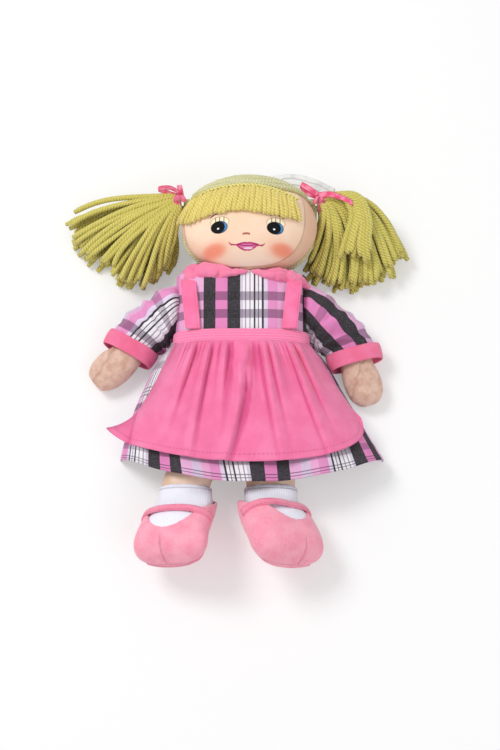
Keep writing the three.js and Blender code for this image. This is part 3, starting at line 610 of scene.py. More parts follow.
def on_cloth(wire, width, length):
    """The place on the flat cloth, in millimetres from its first corner."""
    flat = wire.node("UVMap", {"uv_map": "UVMap"}, {})
    x, y = [flat.node("SeparateXYZ", {}, {0: flat}, axis) for axis in "XY"]
    return x * width, y * length


def towards(origin, way):
    """How far a place is from the shoe's middle, this way."""
    return (x - origin[0]) * way[0] + (y - origin[1]) * way[1] + (z - origin[2]) * way[2]


toe_seam = 0.0
for side, middle, mine in (("right", 2.5, on_right), ("left", -7.5, 1 - on_right)):
    origin, *ways = shoe_frames[side]
    a, b, c = [towards(origin, way) for way in ways]
    down_the_toe = stripe(a, middle - 0.7, middle + 0.7, 0.7) * rise(b, 41, 50) * rise(c, 5, 8)
    round_the_toe = stripe(c, 5.2, 6.2, 0.5) * rise(b, 12, 20)
    toe_seam = toe_seam + down_the_toe * mine + round_the_toe * mine * 0.7
tint = mixed(toe_seam * 0.45, tint, "e8688c")
colour_and_bump(shoe_fleece, tint, pile + nap * 2 - toe_seam * 1.3, 0.6)
bar_fleece, wire = new_finish("bar_fleece", 0.95, 0.35)
across, along = on_cloth(wire, 1.0, 70.0)
rows = stripe(across, 0.12, 0.15, 0.01) + stripe(across, 0.35, 0.38, 0.01)
rows = rows * rise(wave(along, 2.6), -0.5, 0.1)
tint = mixed(rise(mottle(wire, 12, 3), 0.3, 0.7), "f893ae", "ee7f9f")
tint = mixed(rows * 0.3, tint, "cf5478")
colour_and_bump(bar_fleece, tint, mottle(wire, 1.6, 4) - rows * 1.5, 0.5)
# Each shoe: how far towards the toe its mouth and its bar lie, and how much one side swells.
mouths = {"right": (-2.0, 18.0, 1.0), "left": (-11.0, 12.5, 7.0)}
# Half the mouth's width, length and depth, and how high over the shoe's middle it lies.
mouth_width, mouth_length, mouth_depth, mouth_height = 31, 42, 24, 44


def thickened(piece, thickness):
    """Gives a cloth its thickness, in millimetres, as one closed wall."""
    worked(piece, "SOLIDIFY", thickness=thickness / 1000, offset=0)
    sew_shut(piece)


def cut_away(piece, cutter):
    """Takes the cutter's shape out of a piece."""
    worked(piece, "BOOLEAN", operation="DIFFERENCE", object=cutter, solver="EXACT")
    bpy.data.objects.remove(cutter)


def laid(place):
    """Lays the shape just added where place puts its points, in millimetres."""
    shape = bpy.context.object
    for point in shape.data.vertices:
        point.co = place(*point.co) / 1000
    sew_shut(shape)
    return shape


for side in ("right", "left"):
    run = shoe_runs[side]
    origin, over, down, up = [Vector(way) for way in shoe_frames[side]]
    mouth, bar_place, swell = mouths[side]

    def plump(u, v):
        return swell * max(0, cos(2 * pi * u)) * sin(pi * v)

    upper = bag(side + "_shoe", run, nearly_round, 48, 40, lambda u, v: plump(u, v) - 0.8)
    hollow = bag("hollow", run[:7], nearly_round, 32, 24, lambda u, v: plump(u, v) - 3.6)
    cut_away(upper, hollow)
    bpy.ops.object.select_all(action="DESELECT")
    bpy.ops.mesh.primitive_uv_sphere_add(segments=48, ring_count=24, radius=1)
    opening = laid(
        lambda a, b, c: origin + over * mouth_width * a + down * (mouth + mouth_length * b)
        + up * (mouth_height + mouth_depth * c)
    )
    cut_away(upper, opening)
    bpy.ops.object.select_all(action="DESELECT")
    bpy.ops.mesh.primitive_cube_add(size=1)
    # Behind the bar the upper is cut open down to the heel.
    low, high = down * -24 + up * 6, down * (bar_place - 1) + up * 35
    back = (low - high).normalized()
    lift = over.cross(back) if over.cross(back).dot(up) > 0 else -over.cross(back)
    behind = laid(
        lambda a, b, c: origin + high + over * 140 * a + back * 90 * (b + 0.5) + lift * 60 * (c + 0.5)
    )
    cut_away(upper, behind)
    worked(upper, "REMESH", mode="VOXEL", voxel_size=0.0012)
    worked(upper, "SMOOTH", factor=0.5, iterations=6)
    dressed(upper, shoe_fleece)
    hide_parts(side + "_shoe_upper")
    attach(upper, side + "_leg")

    def sole_place(u, v):
        turn = pi * (1.2 + 0.6 * u)
        rim = min(1, 6 * u * (1 - u), 8 * v * (1 - v))
        return on_ring(between(run, 0.05 + 0.92 * v), turn, nearly_round, -0.6 + 1.8 * rim)

    sole = cut_cloth(side + "_shoe_sole", 24, 32, sole_place)
    thickened(sole, 1.8)
    worked(sole, "SUBSURF", levels=1, render_levels=1)
    dressed(sole, shoe_fleece)
    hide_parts(side + "_sole")
    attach(sole, side + "_leg")

    share = 0.0
    while share < 1 and (Vector(between(run, share)[:3]) - origin).dot(down) < bar_place:
        share += 0.005
    stations = []
    for k in range(19):
        turn = pi * (k / 18)
        ring = between(run, share - 0.04 * cos(turn) ** 2)
        bow = 0.3 - 0.5 * abs(cos(turn)) ** 3 + plump(turn / (2 * pi), share)
        spot_at = on_ring(ring, turn, nearly_round, bow)
        outward = (on_ring(ring, turn, nearly_round, bow + 1) - spot_at).normalized() * 1.3
        stations.append((*spot_at, *(down * 3.7), *outward))
    bar = bag(side + "_shoe_bar", stations, 3.0, 16, 36)
    dressed(bar, bar_fleece)
    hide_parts(side + "_shoe_strap")
    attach(bar, side + "_leg")


# ---------------------------------------------------------------- dress bodice
# Woven cotton in a pink, black and white plaid, sewn as a sleeveless top round the body.
# Its neck edge is gathered under the collar.
# The stripes of the warp: where each ends, in millimetres, and its colour.
sett = (
    (11, "262027"), (22, "e886c2"), (33.5, "262027"), (36, "d9cfe0"), (38, "f6f1f8"), (39, "a79fae"),
    (42, "f6f1f8"), (43, "a79fae"), (46, "f6f1f8"), (47.4, "221c24"), (50, "efe9f3"), (51, "463f4a"),
    (53.6, "f6f1f8"), (55.2, "221c24"), (59, "e6d6ee"), (68, "e892c8"), (75, "efabd6"), (84, "dcc4e2"),
    (94, "ecb2dc"),
)
sett_width = 94.0


def plaid(wire, across, down, pale_share=1.0):
    """The plaid of the dress: strong warp stripes, and greyer weft bands over them."""
    ends = [0.0] + [end for end, tint in sett]
    stops = [(start / sett_width, tint) for start, (end, tint) in zip(ends, sett)]
    warp = across.node("ValToRGB", {"stops": stops}, {0: (across / sett_width) % 1})
    row = down % sett_width
    bands = stripe(row, 0, 8.5, 0.4) + stripe(row, 17, 25.5, 0.4) + stripe(row, 62, 70, 0.4) * 0.7
    lines = stripe(row, 33.6, 34.8, 0.3) + stripe(row, 38, 39.2, 0.3) + stripe(row, 42, 43.4, 0.3)
    pale = stripe(row, 27, 46, 0.4)
    tint = mixed(pale * 0.25 * pale_share, warp, "f3e9f6")
    tint = mixed(bands * 0.85, tint, "9d94a0", "MULTIPLY")
    tint = mixed(lines * 0.75 * pale_share, tint, "4a434e")
    threads = wave(across, 0.8) * wave(down, 0.8)
    # Painted highlight: the weave is painted paler where its threads rise.
    tint = mixed(rise(threads, -1, 1) * 0.05, tint, "ffffff")
    tint = mixed(rise(mottle(wire, 1.3, 3), 0.45, 0.8) * 0.2, tint, "a596aa")
    return tint, threads


def plaid_cotton(name, width, length, across_from, down_from, creases=9.0, pale_share=1.0, folded=False):
    """Plaid on one cut of cloth: the sett starts across_from and down_from its first corner."""
    material, wire = new_finish(name, 0.85, 0.02)
    across, down = on_cloth(wire, width, length)
    tint, threads = plaid(wire, across + across_from, down + down_from, pale_share)
    if folded:
        # Painted shade: the plaid is darkened deep in the sleeve's folds.
        tint = mixed(in_folds(wire) * 0.65, tint, "5a4a5c", "MULTIPLY")
    folds = mottle(wire, creases, 2)
    colour_and_bump(material, tint, threads * 0.15 + folds * 3, 0.5)
    return material


def shade_folds(piece, columns, full, facing=None):
    """Marks how deep each point of a cloth still flat cut lies in a fold, for painted shade, in its own
    attribute.
    """
    reach = 4
    points = piece.data.vertices
    middle = sum((point.co for point in points), Vector()) / len(points)
    turned = sum(point.normal.dot(facing or point.co - middle) for point in points)
    deep = []
    for k, point in enumerate(points):
        column = k % (columns + 1)
        near = points[k - min(reach, column)].co
        far = points[k + min(reach, columns - column)].co
        hollow = ((near + far) / 2 - point.co).dot(point.normal) * copysign(1000, turned)
        deep.append(min(max(hollow / full, 0), 1) if reach <= column <= columns - reach else 0.0)
    piece.data.attributes.new("fold_depth", "FLOAT", "POINT").data.foreach_set("value", deep)


def in_folds(wire):
    """How deep in a fold this place is, from 0 to 1."""
    return wire.node("Attribute", {"attribute_name": "fold_depth"}, {}, 2)


def paced(line, count):
    """Parts a fine line in count equal lengths: the step and share where each begins, and its length."""
    marks = [0.0]
    for near, far in zip(line, line[1:]):
        marks.append(marks[-1] + (far - near).length)
    places, k = [], 0
    for n in range(count + 1):
        goal = marks[-1] * n / count
        while k < len(line) - 2 and marks[k + 1] < goal:
            k += 1
        places.append((k, (goal - marks[k]) / (marks[k + 1] - marks[k])))
    return places, marks[-1]


chest = (0, 0, 0, 61.0, 0, 29.6)
fine = [on_ring(chest, 2 * pi * k / 720 - pi / 2, square_corners) for k in range(721)]
bodice_columns = 96
places, bodice_girth = paced(fine, bodice_columns)
bodice_ring = [fine[k].lerp(fine[k + 1], share) for k, share in places]
bodice_length = 84
# How high over the table the chest has its middle, where the waist is, and how far up from
# the waist the shoulder.
chest_height = 30.3
waist, shoulder = -6, 69


def bodice_place(u, v):
    """Straight up the body from the waist, then a quarter turn in under the collar."""
    ring = bodice_ring[bodice_columns - round(u * bodice_columns)]
    down = v * bodice_length
    if down < shoulder:
        y, size = waist + down, 1.0
    else:
        turn = (down - shoulder) / (bodice_length - shoulder) * pi / 2
        y, size = waist + shoulder + sin(turn), 1 - 0.55 * (1 - cos(turn))
    ease = noise.noise(Vector((ring.x / 22, y / 26, ring.z / 22))) * 0.9 * min(1, v * 4)
    tuck = -0.5 * max(0, 1 - v * 5) * (0.5 + 0.5 * cos(ring.x * 0.9))
    z = chest_height + ring.z * size + (ease + tuck) * (1 if ring.z > 0 else 0)
    return ring.x * size, y, max(z, 0.5)


bodice = cut_cloth("plaid_bodice", bodice_columns, 40, bodice_place)
sew_shut(bodice)
thickened(bodice, 0.9)
centred = 34.8 - bodice_girth / 2
bodice_cotton = plaid_cotton("bodice_cotton", bodice_girth, bodice_length, centred, 70.7, pale_share=0.0)
dressed(bodice, bodice_cotton)
bodice_girth / 1000
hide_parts("dress_bodice")
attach(bodice, "torso")


# ---------------------------------------------------------------- sleeves and cuffs
# Full plaid sleeves, gathered at the shoulder and crumpled at the elbow, with the stripes
# down the arm. Each ends in a pink cuff, folded up and pressed.
sleeve_runs = {
    "right": [(-58, 38, 31, 0, 17, 18), (-62, 36, 31, -3, 21, 22),
              (-70, 30, 30.5, -8, 21, 22.6), (-78, 23.6, 28.8, -11.5, 19.9, 21.2),
              (-92, 13, 21, -18.5, 15, 19.5), (-102, 5, 16.5, -20.2, 11.7, 15.4)],
    "left": [(58, 38, 31, 0, 17, 18), (62, 36, 31, 3, 21, 22),
             (71, 28, 30.5, 10, 20, 22.6), (79.2, 20.4, 28.8, 14, 18.2, 21.2),
             (94, 7, 21, 21, 10.5, 19.5), (105, -3, 16.5, 22.5, 6, 15.4)],
}
sleeve_length = 62.0
sleeve_girth = 134.0
sleeve_columns = 72
lump_height, crease_height = 3.4, 7.5
cuff_runs = {
    "right": [(-101.2, 6.4, 16.6, -22.4, 12.9, 15.4), (-109, -7.1, 16.6, -21.6, 12.4, 15.4)],
    "left": [(104.6, -1.6, 16.6, 25.1, 6.7, 15.4), (108.6, -16.5, 16.6, 24.2, 6.5, 15.4)],
}
twills = {}
for name, light, deep in (("cuff_twill", "fb7aa6", "f4658f"), ("collar_twill", "fd8bb2", "f679a5")):
    twills[name], wire = new_finish(name, 0.8, 0.25)
    x, y, z = millimetres(wire)
    twill = wave(x + y, 1.1)
    tint = mixed(rise(mottle(wire, 18), 0.3, 0.7), light, deep)
    # Painted highlight: the twill lines are painted paler on their crests.
    tint = mixed(rise(twill, -1, 1) * 0.12, tint, "ffc0d8")
    colour_and_bump(twills[name], tint, twill * 0.25 + mottle(wire, 7) * 2, 0.4)
for side, run in sleeve_runs.items():
    seed = 3.0 if side == "right" else 8.0

    def sleeve_place(u, v):
        turn = 2 * pi * (1 - u if side == "right" else u)
        station = between(run, v)
        loose = 1 - abs(2 * v - 1) ** 3
        lump = noise.noise(Vector((cos(turn) * 1.2 + seed, v * 6.5, sin(turn) * 1.2)))
        crease = noise.noise(Vector((cos(turn) * 1.1 + v * 2, v * 7 + seed, sin(turn) * 1.1)))
        crumple = lump * lump_height * loose
        crumple += (0.35 - abs(crease)) * crease_height * loose * min(1, v * 2)
        gather = cos(turn * 22) * 0.5 * max(0, 1 - v * 3) + cos(turn * 18) * 0.6 * max(0, v * 3 - 2)
        spot_at = on_ring(station, turn - pi / 2, nearly_round, crumple - 0.6 + gather)
        spot_at.z = max(spot_at.z, 0.6)
        return spot_at

    sleeve = cut_cloth(side + "_plaid_sleeve", sleeve_columns, 44, sleeve_place)
    shade_folds(sleeve, sleeve_columns, 3.5)
    sew_shut(sleeve)
    thickened(sleeve, 0.9)
    worked(sleeve, "SUBSURF", levels=1, render_levels=1)
    start = 78.8 if side == "right" else 41.5
    cotton = plaid_cotton(side + "_sleeve_cotton", sleeve_girth, sleeve_length, start, 46.0, 6.0, folded=True)
    dressed(sleeve, cotton)
    cut = (sleeve_girth / 1000, sleeve_length / 1000)
    side + "_arm"
    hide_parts(side + "_sleeve")
    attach(sleeve, side + "_arm")

    top, end = cuff_runs[side]

    def cuff_place(u, v):
        fold = 2 * pi * v
        station = between([top, end], 0.5 - 0.5 * cos(fold))
        buckle = noise.noise(Vector((u * 7, seed, 0.5))) * 0.8
        spot_at = on_ring(station, 2 * pi * u, 2.2, 1.3 * sin(fold) + buckle)
        spot_at.z = max(spot_at.z, 0.4)
        return spot_at

    cuff = cut_cloth(side + "_folded_cuff", 64, 24, cuff_place)
    sew_shut(cuff)
    dressed(cuff, twills["cuff_twill"])
    side + "_plaid_sleeve"
    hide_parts(side + "_cuff")
    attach(cuff, side + "_arm")


# ---------------------------------------------------------------- dress skirt
# A wide plaid skirt, gathered into the waist and hemmed. It lies flat behind the legs
# and falls in soft folds in front of them.
waist_half, hem_half = 61.7, 123
# How high its front lies at the waist and at the hem.
waist_top, hem_top = 60.7, 54
# Towards the hem it swings to the doll's left, and curves up at both sides.
hem_swing, hem_curve = 10, 0.0019


def cloth_reach(down, gather):
    """Half the width of the skirt: from the waist, at 0, to its hem, at 1."""
    return waist_half + (hem_half - waist_half) * down ** gather


def rounded_corner(down):
    """How square the skirt is seen from below: like the bodice at the waist, round at the hem."""
    square = 2 / square_corners
    return square + (1 - square) * down


def skirt_height(turn, down, by, fold):
    """How high the skirt lies over the table at this turn, with its folds this deep."""
    s = copysign(abs(sin(turn)) ** (2 / square_corners), sin(turn))
    low = -0.5 - by
    high = waist_top + (hem_top - waist_top) * down + by
    rounded = (low + high) / 2 + (high - low) / 2 * s
    draped = low + (high - low) * max(s, 0)
    return rounded + (draped - rounded) * min(1, down / 0.3) + fold * down * max(s, 0)


skirt_length = 132
skirt_columns = 240
# The cloth lies a little inside the edge that cloth_reach gives, and the apron a little over it.
inside = -0.7


def skirt_place(turn, down):
    """A point of the skirt: turn goes round from the left side, down from waist to hem."""
    c = copysign(abs(cos(turn)) ** rounded_corner(down), cos(turn))
    middle = hem_swing * down ** 2
    x = middle + (cloth_reach(down, 0.55) + inside) * c
    # Twelve soft folds round it, and looser ones between them.
    fold = 2.6 + 2.6 * cos(12 * turn) + 2.5 * noise.noise(Vector((c * 4.5, down * 2, 1.7)))
    z = skirt_height(turn, down, inside, fold)
    drop = 128 - 16 * sqrt(max(-sin(turn), 0))
    y = -6.3 - drop * down + hem_curve * (x - middle) ** 2 * down
    return x, y, max(z, 0.7)


hem = [Vector(skirt_place(-pi / 2 - pi * k / 360, 1)) for k in range(721)]
places, skirt_width = paced(hem, skirt_columns)
skirt_turns = [-pi / 2 - pi * (k + share) / 360 for k, share in places]
skirt = cut_cloth("plaid_skirt", skirt_columns, 60,
                  lambda u, v: skirt_place(skirt_turns[round(u * skirt_columns)], v))
sew_shut(skirt)
thickened(skirt, 0.9)
skirt_cotton, wire = new_finish("skirt_cotton", 0.85, 0.02)
across, down = on_cloth(wire, skirt_width, skirt_length)
from_middle = (skirt_width / 2 + 35.6 - across) / 1.055
tint, threads = plaid(wire, from_middle, skirt_length - down + 47.0)
hem_lines = stripe(down, 125.4, 126.5, 0.25) + stripe(down, 128.4, 129.4, 0.25)
tint = mixed(hem_lines * 0.7, tint, "4a434e")
colour_and_bump(skirt_cotton, tint, threads * 0.15 + mottle(wire, 10, 2) * 3, 0.5)
dressed(skirt, skirt_cotton)
cut = (skirt_width / 1000, skirt_length / 1000)
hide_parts("dress_skirt")
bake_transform(skirt)


# ---------------------------------------------------------------- apron
# Pink twill: a skirt gathered under a ribbed waistband and hemmed with one row of
# stitches, and two straps, stitched along both edges, that run up under the collar.
# Each pleat: where it starts along half the band, and how far down it runs.
pleats = ((-0.66, 0.45), (-0.44, 0.7), (-0.21, 0.35), (0.07, 0.3),
          (0.29, 0.6), (0.4, 0.35), (0.65, 0.7), (0.77, 0.4))
pleat_height, middle_height, wave_height = 8.0, 13.0, 9.0
# How far down the skirt the apron reaches: in front, and at its left and right corner.
front_reach, left_reach, right_reach = 0.87, 0.58, 0.76
left_flare, right_flare = 24, 88
apron_columns = 260


def apron_cut(u, v):
    """A point of the apron, on the skirt below it: u goes along the hem, v down from the band."""
    turn = pi * (1 / 22 + u * 20 / 22)
    corner = left_reach if cos(turn) > 0 else right_reach
    down = v * (front_reach + (corner - front_reach) * abs(cos(turn)) ** 8)
    c = copysign(abs(cos(turn)) ** rounded_corner(down), cos(turn))
    flare = (left_flare * down ** 3 if c > 0 else right_flare * down ** 5) * cos(turn) ** 4
    out = (cloth_reach(down, 0.8 if c > 0 else 1.0) + flare) * c
    share = min(max(out / cloth_reach(down, 0.55), -0.93), 0.95)
    beside = acos(copysign(abs(share) ** (1 / rounded_corner(down)), share))
    z = skirt_height(beside, down, 1.8, 7.0)
    across = c * waist_half
    for place, reach in pleats:
        # A pleat is steep on the side of the middle and soft on the other.
        away = c - place + 0.03 * down
        away = away / (0.055 if away * (place + 0.01) > 0 else 0.016)
        z += pleat_height * exp(-away * away) * exp(-(down / reach) ** 2) * min(1, down * 12)
    # One deep fold falls from the middle of the band to the right.
    away = c - 0.05 + 0.3 * down ** 1.5
    away = away / (0.09 if away < 0 else 0.022)
    z += middle_height * exp(-away * away) * min(1, down * 6) * (1 - 0.8 * down)
    # Fine gathers below the band, and loose waves towards the hem.
    z += 1.2 * cos(across * 1.1 + 3 * sin(across * 0.4)) * exp(-down / 0.1) * min(1, down * 20)
    waves = noise.noise(Vector((c * 3.2 + down, down * 3 - c, 4.2)))
    z += wave_height * waves * down * (1 - 0.5 * down)
    return hem_swing * down ** 2 + out, -4.6 - 129.7 * down + hem_curve * out ** 2 * down, z


apron = cut_cloth("apron_skirt_cloth", apron_columns, 70, apron_cut)
shade_folds(apron, apron_columns, 2.2, Vector((0, 0, 1)))
thickened(apron, 1.1)
apron_cotton, wire = new_finish("apron_cotton", 0.8, 0.25)
apron_width, apron_length = 236, 112
across, down = on_cloth(wire, apron_width, apron_length)
twill = wave(across + down, 1.2)
hem = stripe(down, 105.2, 106.4, 0.3) * rise(wave(across, 2.6), -0.4, 0.2)
tint = mixed(rise(mottle(wire, 20), 0.3, 0.7), "ff84b5", "f873a6")
# Painted highlight: the twill lines are painted paler on their crests.
tint = mixed(rise(twill, -1, 1) * 0.1, tint, "ffc0d8")
# The hem's row of stitches, and painted shade deep in the apron's folds.
tint = mixed(hem * 0.22 + in_folds(wire) * 0.6, tint, "d23c80")
colour_and_bump(apron_cotton, tint, twill * 0.25 + mottle(wire, 8, 2) * 2.5 - hem, 0.4)
dressed(apron, apron_cotton)
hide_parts("apron_skirt")
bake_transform(apron)

band_stations = []
ring = (0, 0, chest_height, 61.2, 0, 30.0)
for k in range(33):
    turn = pi * (1 - k / 32)
    spot_at = on_ring(ring, turn, square_corners, 1.5)
    outward = (on_ring(ring, turn, square_corners, 3.0) - spot_at).normalized() * 1.1
    if spot_at.z > 35:
        band_stations.append((spot_at.x, spot_at.y + 0.4, spot_at.z, 0, 6.2, 0, *outward))
band = bag("apron_band", band_stations, 5.0, 24, 90)
band_rib, wire = new_finish("band_rib", 0.8, 0.25)
x, y, z = millimetres(wire)
rib = wave(y, 2.6)
# Painted highlight and shade: the ribs are painted paler on their crests, darker between.
tint = mixed(rise(rib, -1, 1), "f67eaa", "fd8fb8")
colour_and_bump(band_rib, tint, rib * 0.35 + mottle(wire, 5) * 1.5, 0.45)
dressed(band, band_rib)
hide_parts("apron_waistband")
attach(band, "torso")

strap_rib, wire = new_finish("strap_rib", 0.8, 0.25)
x, y, z = millimetres(wire)
lean = abs(x) + (52 - y) * 0.09
edge = stripe(lean, 43.3, 44.1, 0.3) + stripe(lean, 53.9, 54.7, 0.3)
tint = mixed(rise(mottle(wire, 12), 0.3, 0.7), "fb82b0", "f2719f")
tint = mixed(edge * 0.12, tint, "d9608f")
colour_and_bump(strap_rib, tint, wave(lean, 2.2) * 0.2 - edge * 0.3 + mottle(wire, 5), 0.4)
for side, sign in (("right", -1), ("left", 1)):
    strap = bag(side + "_apron_band", [
        (sign * 44.2, 6.6, 61.5, 7.1, 0, 0, 0, 0, 1.1), (sign * 46, 25, 61.8, 7.2, 0, 0, 0, 0, 1.1),
        (sign * 48, 42, 61.8, 7.3, 0, 0, 0, 0, 1.1), (sign * 49, 50, 60.0, 7.4, 0, 0, 0, 0.3, 1.1),
        (sign * 49.2, 56, 54.4, 7.4, 0, 0, 0, 0.7, 0.7),
    ], 2.3, 24, 40)
    dressed(strap, strap_rib)
    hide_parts(side + "_apron_strap")
    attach(strap, "torso")


# ---------------------------------------------------------------- collar
# Two soft rolls of the apron's pink cotton, lightly padded and creased, that meet in a
# notch below the chin and hide the neck seam.
collar_runs = {
    "right": [(-58, 60.5, 38, 0, 4.6, -2, -1, 0, 2.6), (-51, 63.4, 49, 0, 7.6, -1, -1, 0, 5.2),
              (-39, 63.6, 55.5, 0, 8.2, 0, 0, 0, 6.2), (-28, 63.4, 58.5, 0, 7.8, 0, 0, 0, 5.6),
              (-14, 61.8, 60.4, 0, 5.0, 0, 0, 0, 4.2), (-4, 61.3, 61.6, 0, 2.8, 0, 0, 0, 2.8),
              (2.5, 61.6, 62.2, 0, 1.5, 0, 0, 0, 1.7), (6.0, 62.2, 62.2, 0, 0.8, 0, 0, 0, 0.9)],
    "left": [(65, 52, 36, 0, 2.6, -2, 1, 0, 2.2), (60.5, 54.2, 45, 0, 4.2, -1, 1, 0, 3.8),
             (54, 56.8, 51, 0, 5.6, 0, 0, 0, 4.8), (45, 58.8, 56, 0, 6.6, 0, 0, 0, 5.4),
             (34, 59.2, 60, 0, 5.8, 0, 0, 0, 5.0), (23.5, 60, 61.6, 0, 4.2, 0, 0, 0, 3.8),
             (15, 61, 62.2, 0, 2.1, 0, 0, 0, 2.2), (9.0, 62.1, 62.2, 0, 0.8, 0, 0, 0, 0.9)],
}
for side, run in collar_runs.items():
    pinch, seed = (0.6, 5) if side == "right" else (0.45, 4)

    def crease(u, v):
        folds = exp(-((v - pinch - 0.05 * sin(2 * pi * u)) / 0.03) ** 2) * 2.2
        folds += exp(-((v - pinch + 0.2 + 0.1 * sin(2 * pi * u)) / 0.025) ** 2) * 1.2
        folds += exp(-((v - pinch - 0.2) / 0.03) ** 2)
        folds += exp(-((u - 0.23 - 0.05 * sin(9 * v)) / 0.035) ** 2) * 1.5 * sin(pi * v) ** 2
        ripple = noise.noise(Vector((v * 16, u * 5, seed))) * 0.8
        on_top = 1 if 0.05 < u < 0.45 else 0.3
        return 1.6 * noise.noise(Vector((v * 7, u * 3, seed))) + ripple - folds * on_top

    collar = bag(side + "_collar_roll", run, 2.2, 48, 80, crease)
    dressed(collar, twills["collar_twill"])
    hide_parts(side + "_collar")
    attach(collar, "torso")


# ---------------------------------------------------------------- yarn hair
# Thick yarn, its plies painted with highlight and shade, laid over the head from tie to tie and sewn down
# along a parting.
# The fringe hangs from the parting, cut straight; a chain stitch covers the seam.
tie_line = (138.5, 38)


def hair_reach(x, angle, by):
    """How far the hair lies from the line between the two ties, at x and this angle round it."""
    a, c = head_half[0] + by, head_half[2] + by
    b = crown_half + by + 3 * min(max((angle - pi) / 1.2, 0), 1)
    room = 1 - ((x - head_middle[0]) / a) ** 2
    dy, dz = tie_line[0] - head_middle[1], tie_line[1] - head_middle[2]
    sy, sz = sin(angle), cos(angle)
    qa = (sy / b) ** 2 + (sz / c) ** 2
    qb = 2 * (dy * sy / b ** 2 + dz * sz / c ** 2)
    qc = (dy / b) ** 2 + (dz / c) ** 2 - room
    inside = qb * qb - 4 * qa * qc
    return (-qb + sqrt(inside)) / (2 * qa) if inside > 0 else 0.0


def over_head(x, angle, by):
    """The place by millimetres over the head, seen from the line between the two ties."""
    reach = max(hair_reach(x, angle, by), 2.0)
    return Vector((x, tie_line[0] + reach * sin(angle), tie_line[1] + reach * cos(angle)))


# Every strand has this much room of its own across the flat cloth, so that its finish can tell
# it from the next.
strand_room = 10


def yarn(name, runs, sides=8):
    """Lays lengths of yarn, each a list of points with its half thickness, as one piece."""
    points, faces, flat = [], [], []
    for index, (path, half) in enumerate(runs):
        path = [Vector(p) for p in path]
        base, length = len(points), 0.0
        side = Vector((0.3, 0.2, 1))
        marks = []
        for k, p in enumerate(path):
            way = (path[min(k + 1, len(path) - 1)] - path[max(k - 1, 0)]).normalized()
            side = (side - way * side.dot(way)).normalized()
            other = way.cross(side)
            if k:
                length += (p - path[k - 1]).length
            marks.append(length)
            thin = 0.8 if k in (0, len(path) - 1) else 1.0
            for n in range(sides):
                turn = 2 * pi * n / sides
                points.append((p + (side * cos(turn) + other * sin(turn)) * half * thin) / 1000)
        for k in range(len(path) - 1):
            for n in range(sides):
                a, b = base + k * sides + n, base + k * sides + (n + 1) % sides
                faces.append((a, b, b + sides, a + sides))
                low, high = index * strand_room + n / sides, index * strand_room + (n + 1) / sides
                flat += [(low, marks[k]), (high, marks[k]), (high, marks[k + 1]), (low, marks[k + 1])]
        for k, order in ((0, -1), (len(path) - 1, 1)):
            ring = [base + k * sides + n for n in range(sides)][::order]
            faces.append(tuple(ring))
            flat += [(index * strand_room, marks[k])] * sides
    mesh = bpy.data.meshes.new(name)
    mesh.from_pydata(points, [], faces)
    layer = mesh.uv_layers.new(name="UVMap")
    for loop, place in zip(layer.data, flat):
        loop.uv = place
    piece = bpy.data.objects.new(name, mesh)
    bpy.context.scene.collection.objects.link(piece)
    return piece


def yarn_finish(name, light, middle, deep, depth):
    """Plied acrylic yarn: slanting plies and a fuzzy skin, with painted highlight and shade on them, each
    length a little different.
    """
    material, wire = new_finish(name, 0.85, 0.3)
    across, along = on_cloth(wire, 1.0, 1.0)
    ply = wave(across * 9 + along, 3.0)
    strand = across.node("Math", {"operation": "FLOOR"}, {0: across / strand_room})
    each = strand.node("TexWhiteNoise", {"noise_dimensions": "1D"}, {"W": strand})
    fuzz = mottle(wire, 1.2, 4)
    # Painted highlight and shade: the plies and fuzz are painted lighter on their crests, darker between.
    tint = mixed(rise(ply * 0.75 + fuzz * 1.8, -1.0, 1.6), deep, light)
    tint = mixed(each * 0.5, tint, middle)
    colour_and_bump(material, tint, ply * 0.6 + fuzz, depth)
    return material


hair_yarn = yarn_finish("hair_yarn", "e4d876", "cbbf58", "a0953e", 0.45)
fringe_yarn = yarn_finish("fringe_yarn", "f6e184", "e0cb66", "b8a74a", 0.45)
cap_yarn = yarn_finish("cap_yarn", "e4e1b2", "d3cf9a", "b2ad78", 0.4)
# A dark olive sheet under the cap yarn: painted shade showing between the strands.
cap_underlay_shade, wire = new_finish("cap_underlay_shade", 0.95, 0.2)
tint = mixed(mottle(wire, 4, 4), "b2aa68", "c6bf80")
colour_and_bump(cap_underlay_shade, tint, mottle(wire, 2.2, 4), 0.8)
# How far round the head the cap goes, in degrees, and how many lengths of yarn cover it.
cap_sweep = 262
lengths = 46


def cap_place(u, v):
    """A darker sheet under the yarn, painted shade between its strands: u goes from tie to tie, v from the
    parting round to the nape.
    """
    x = head_middle[0] - 62 * cos(pi * u)
    return over_head(x, radians(-4 + cap_sweep * v), 0.6)


shell = cut_cloth("cap_shell", 40, 48, cap_place)
thickened(shell, 1.2)
shell.data.materials.append(cap_underlay_shade)
rng = random.Random(5)
runs = []
for k in range(lengths):
    angle = radians(1 + cap_sweep * k / (lengths - 1))
    path = []
    for n in range(25):
        x = head_middle[0] - 63.5 * cos(pi * (0.05 + 0.9 * n / 24))
        drift = radians(1.5 * sin(n * 0.7 + k * 2.1))
        path.append(over_head(x, angle + drift, 1.7 + 0.5 * rng.random()))
    runs.append((path, 2.4))
laid_yarn = yarn("cap_strands", runs)
laid_yarn.data.materials.append(cap_yarn)
cap = joined("hair_cap_yarn", [laid_yarn, shell])
alone(cap)
bpy.ops.object.shade_smooth()
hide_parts("hair_cap")
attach(cap, "head")


def front_of_head(x, y, by):
    """The place on the front of the head at x and y."""
    a, b, c = head_half[0] + by, crown_half + by, head_half[2] + by
    room = 1 - ((x - head_middle[0]) / a) ** 2 - ((y - head_middle[1]) / b) ** 2
    return Vector((x, y, head_middle[2] + c * sqrt(max(room, 0.02))))


